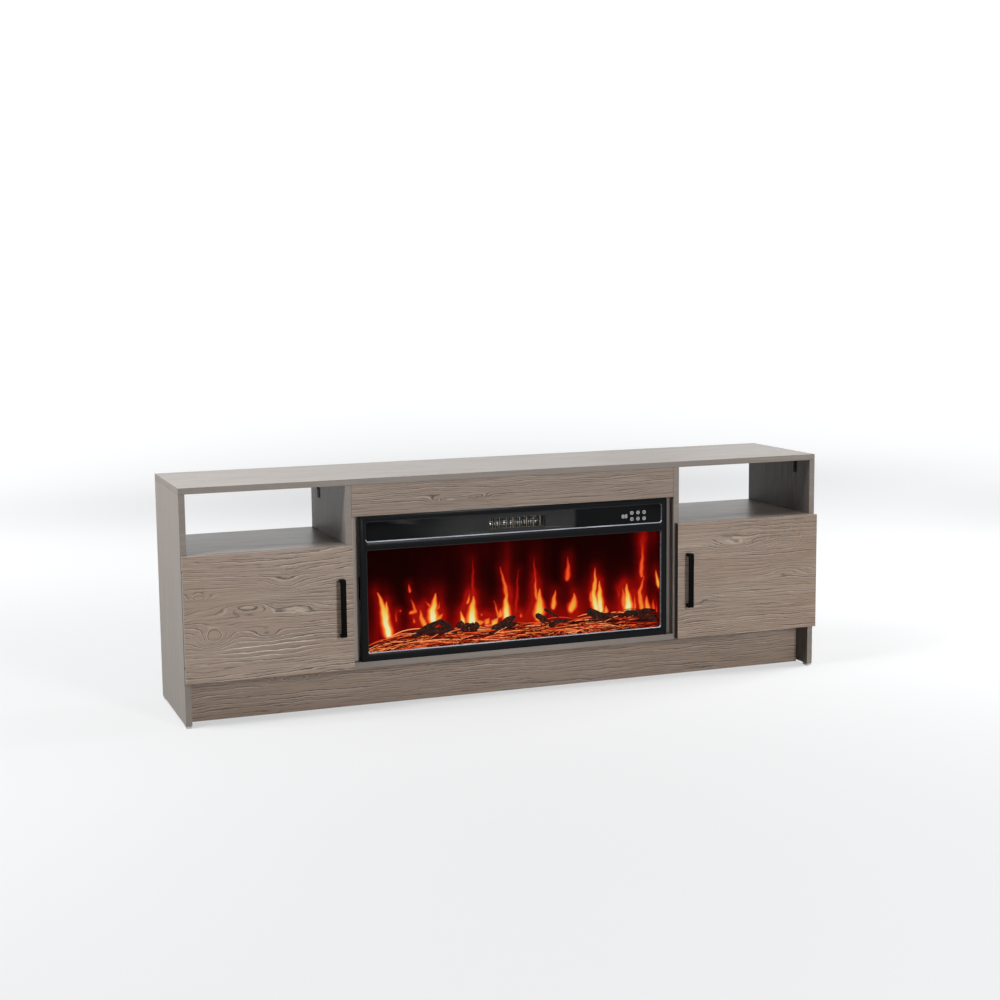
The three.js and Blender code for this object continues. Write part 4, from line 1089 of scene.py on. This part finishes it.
def strandTree():
    tree, given = newTree("emberStrands", Strands="Int", Length="Float", Thickness="Float", Seed="Int")
    sag = times(tree, given["Length"], bed["sag"])
    arc = step(tree, "GeometryNodeCurveQuadraticBezier", {
        "Resolution": 9, "Start": joined(tree, times(tree, given["Length"], -0.5)),
        "Middle": joined(tree, 0.0, sag, sag), "End": joined(tree, times(tree, given["Length"], 0.5))})
    along = step(tree, "GeometryNodeSplineParameter").outputs["Factor"]
    taper = step(tree, "ShaderNodeFloatCurve", {"Value": along})
    curve = taper.mapping.curves[0]
    curve.points[0].location = (0, 0.25)
    curve.points[1].location = (1, 0.2)
    curve.points.new(0.4, 1.0)
    section = step(tree, "GeometryNodeCurvePrimitiveCircle", {"Resolution": 6, "Radius": 1.0})
    body = step(tree, "GeometryNodeCurveToMesh", {
        "Curve": arc, "Profile Curve": section, "Fill Caps": True,
        "Scale": times(tree, taper.outputs[0], given["Thickness"])})
    points = step(tree, "GeometryNodeDistributePointsOnFaces", {
        "Mesh": given["Geometry"], "Seed": given["Seed"],
        "Density": calc(tree, "DIVIDE", given["Strands"], bed["ground"])})
    x = split(tree, step(tree, "GeometryNodeInputPosition"))["X"]
    leanStart, leanEnd, tilt = bed["lean"]
    lean = step(tree, "ShaderNodeMapRange", {"Value": x, "From Min": leanStart, "From Max": leanEnd,
                                             "To Min": -tilt, "To Max": 0.0})
    spin = randomBetween(tree, given["Seed"], *bed["strandSpin"])
    turn = step(tree, "ShaderNodeVectorMath", {0: spin, 1: joined(tree, 0.0, lean)}, operation="ADD")
    size = randomBetween(tree, 5, *bed["strandSize"], "FLOAT")
    return closeTree(tree, withGlow(tree, copied(tree, points, body, turn, size), 9), "ember")


def rubbleTree():
    tree, given = newTree("emberRubble", Density="Float", Size="Float", Seed="Int")
    stone = step(tree, "GeometryNodeMeshIcoSphere", {"Radius": given["Size"], "Subdivisions": 1})
    points = step(tree, "GeometryNodeDistributePointsOnFaces", {
        "Mesh": given["Geometry"], "Density": given["Density"], "Seed": given["Seed"]})
    turn = randomBetween(tree, 3, (0, 0, 0), (6.28, 6.28, 6.28))
    size = randomBetween(tree, 4, *bed["stone"])
    return closeTree(tree, withGlow(tree, copied(tree, points, stone, turn, size), 6), "ember")


def addBedPiece(mesh):  # logs and embers are kept inside the firebox
    low = (bedLow.x + mm, bedLow.y + mm / 2, bedLow.z)
    high = (bedHigh.x - mm, bedHigh.y - mm / 2, bedHigh.z)
    points = np.zeros(len(mesh.vertices) * 3, np.float32)
    mesh.vertices.foreach_get("co", points)
    points = np.clip(points.reshape(-1, 3), low, high).astype(np.float32)
    mesh.vertices.foreach_set("co", points.ravel())
    mesh.update()
    addPiece(mesh, "fuel_bed")


def buildTray():  # the heap's surface, walls down from its rim and a floor
    columns, rows = bed["grid"]
    order = np.arange((columns + 1) * (rows + 1)).reshape(rows + 1, columns + 1)
    rim = np.concatenate([order[0, :-1], order[:-1, -1], order[-1, :0:-1], order[:0:-1, 0]])
    work = bmesh.new()
    work.from_mesh(heapMesh("trayTop", sink=bed["sink"]))
    work.verts.ensure_lookup_table()
    upper = [work.verts[k] for k in rim.tolist()]
    lower = [work.verts.new((vert.co.x, vert.co.y, bedLow.z)) for vert in upper]
    skinRows(work, [lower, upper])
    work.faces.new(lower)
    addPiece(meshFrom(work, "fuelTray", "ember"), "fuel_bed")


def addLog(work, start, end, thickness, wedge, turn):
    axis = (end - start).normalized()
    side = axis.cross(Vector((0, 1, 0))).normalized()
    up = side.cross(axis)
    rows = []
    bend, bendRate = bed["bend"]
    thinning, wave, waveRate = bed["swell"]
    reachEnd, overEnd, lessEnd = bed["ends"]
    for r in range(bed["rings"] + 1):
        t = r / bed["rings"]
        centre = start.lerp(end, t) + up * bend * thickness * math.sin(bendRate * t + turn)
        swell = 1 - wedge * abs(2 * t - 0.7) ** thinning + wave * math.sin(waveRate * t + turn)
        swell *= 1 - lessEnd * max(0, abs(t - 0.5) - reachEnd) / overEnd
        row = []
        for s in range(bed["sides"]):
            angle = 2 * math.pi * s / bed["sides"]
            reach = 1
            for size, around, along, shift in bed["knobs"]:
                reach += size * math.sin(around * angle + along * t + shift * turn)
            reach = thickness * swell * reach
            row.append(work.verts.new(centre + side * math.cos(angle) * reach
                                      + up * math.sin(angle) * reach * bed["flat"]))
        rows.append(row)
    skinRows(work, rows)
    work.faces.new(list(reversed(rows[0])))
    work.faces.new(rows[-1])


def buildLogs():
    work = bmesh.new()
    deep = bedHigh.y - bedLow.y
    for i, (*ends, thickness, wedge) in enumerate(bed["logs"]):
        start, end = (Vector((x * mm, bedLow.y + deep * share, z * mm)) for x, share, z in ends)
        addLog(work, start, end, thickness * mm, wedge, 1.7 * i)
    mesh = meshFrom(work, "bedLogs", "bark")
    smoothed(mesh, 38)
    addBedPiece(mesh)


def buildEmbers():
    strands = grown("emberStrands", heapMesh("strandGround"), strandTree(), {
        "Strands": bed["strands"], "Length": bed["strandLength"], "Thickness": bed["strandThickness"],
        "Seed": bed["seed"]})
    strands.shade_smooth()
    addBedPiece(strands)
    addBedPiece(grown("emberRubble", heapMesh("rubbleGround", reach=bed["rubbleReach"]), rubbleTree(), {
        "Density": bed["rubble"], "Size": bed["rubbleSize"], "Seed": bed["seed"]}))


buildTray()
buildLogs()
buildEmbers()
print("fuel bed made")


# Stage: pale floor that curves up into the backdrop. A painted shadow is a grey patch on the floor, given as
# (x, y, spans, how much greyer)
stage = {"width": 26.0, "front": -9.0, "back": 7.0, "bend": 2.5, "height": 9.0, "steps": 16,
         "colour": (0.30, 0.302, 0.305), "tint": (0.985, 0.992, 1.0), "lift": (0.56, 1.0),
         "far": (0.4, 3.4), "high": (0.05, 0.9),
         "pools": ((-0.7, -1.0, 1.2, 1.1, 0.075), (1.25, 3.7, 2.3, 1.5, 0.42))}


def stageMaterial():
    material, tree, output = emptyMaterial("stageWhite")
    x, y, z = split(tree, place(tree))
    away = calc(tree, "MAXIMUM", remap(tree, y, *stage["far"]), remap(tree, z, *stage["high"]))
    near, far = stage["lift"]
    strength = timesPlus(tree, away, far - near, near)
    # painted shadows: the floor is made greyer in these patches
    for paintedShadow in stage["pools"]:
        strength = timesPlus(tree, bellAt(tree, x, y, paintedShadow), -paintedShadow[4], strength)
    path = tree.nodes.new("ShaderNodeLightPath").outputs
    seen = calc(tree, "MAXIMUM", path["Is Camera Ray"], path["Is Glossy Ray"])
    seen = calc(tree, "MAXIMUM", seen, path["Is Transmission Ray"])
    matt = step(tree, "ShaderNodeBsdfDiffuse", {"Color": (*stage["colour"], 1)})
    lift = step(tree, "ShaderNodeEmission", {"Color": (*stage["tint"], 1),
                                             "Strength": times(tree, seen, strength)})
    feed(output.inputs["Surface"], step(tree, "ShaderNodeAddShader", {0: matt, 1: lift}))
    return material


def buildStage():
    bend, foot = stage["bend"], stage["back"] - stage["bend"]
    profile = [(stage["front"], 0.0), (foot, 0.0)]
    for k in range(1, stage["steps"] + 1):
        angle = 0.5 * math.pi * k / stage["steps"]
        profile.append((foot + bend * math.sin(angle), bend * (1 - math.cos(angle))))
    profile.append((stage["back"], stage["height"]))
    half = stage["width"] / 2
    count = len(profile)
    mesh = bpy.data.meshes.new("stage")
    mesh.from_pydata([(x, y, z) for x in (-half, half) for y, z in profile], [],
                     [(i, count + i, count + i + 1, i + 1) for i in range(count - 1)])
    mesh.shade_smooth()
    mesh.materials.append(stageMaterial())
    newObject("stage", mesh)


buildStage()


# Lights
lamps = {
    "front": {"place": (1.2, -5.4, 1.75), "aim": (0.0, 0.0, 0.3), "size": (1.0, 1.8), "power": 165},
    "right": {"place": (3.2, 0.0, 1.6), "aim": (0.0, 0.0, 0.3), "size": (1.6, 1.6), "power": 118},
    "rightRear": {"place": (2.6, 2.2, 2.2), "aim": (0.0, 0.0, 0.3), "size": (2.0, 1.5), "power": 11},
    "rear": {"place": (0.0, 3.5, 2.0), "aim": (0.0, 0.0, 0.3), "size": (4.0, 2.0), "power": 10},
    "leftTop": {"place": (-2.4, -0.4, 2.8), "aim": (-0.4, 0.0, 0.3), "size": (1.5, 1.5), "power": 118},
}
worldLight = {"colour": (0.95, 0.97, 1.0), "strength": 0.015}


def buildLamp(name, lamp):
    data = bpy.data.lights.new(name, "AREA")
    data.shape = "RECTANGLE"
    data.size, data.size_y = lamp["size"]
    data.energy = lamp["power"]
    light = newObject(name, data)
    light.location = lamp["place"]
    aim = Vector(lamp["aim"]) - Vector(lamp["place"])
    light.rotation_euler = aim.to_track_quat("-Z", "Y").to_euler()


def buildWorld():
    world = bpy.data.worlds.new("studio")
    world.use_nodes = True
    tree = world.node_tree
    background = tree.nodes["Background"]
    background.inputs["Color"].default_value = (*worldLight["colour"], 1)
    path = tree.nodes.new("ShaderNodeLightPath")
    strength = remap(tree, path.outputs["Is Camera Ray"], 0.0, 1.0, worldLight["strength"], 1.0)
    tree.links.new(strength, background.inputs["Strength"])
    scene.world = world


for lampName, lampSettings in lamps.items():
    buildLamp(lampName, lampSettings)
buildWorld()
scene.view_settings.view_transform = "Standard"
print("stage and lights set")
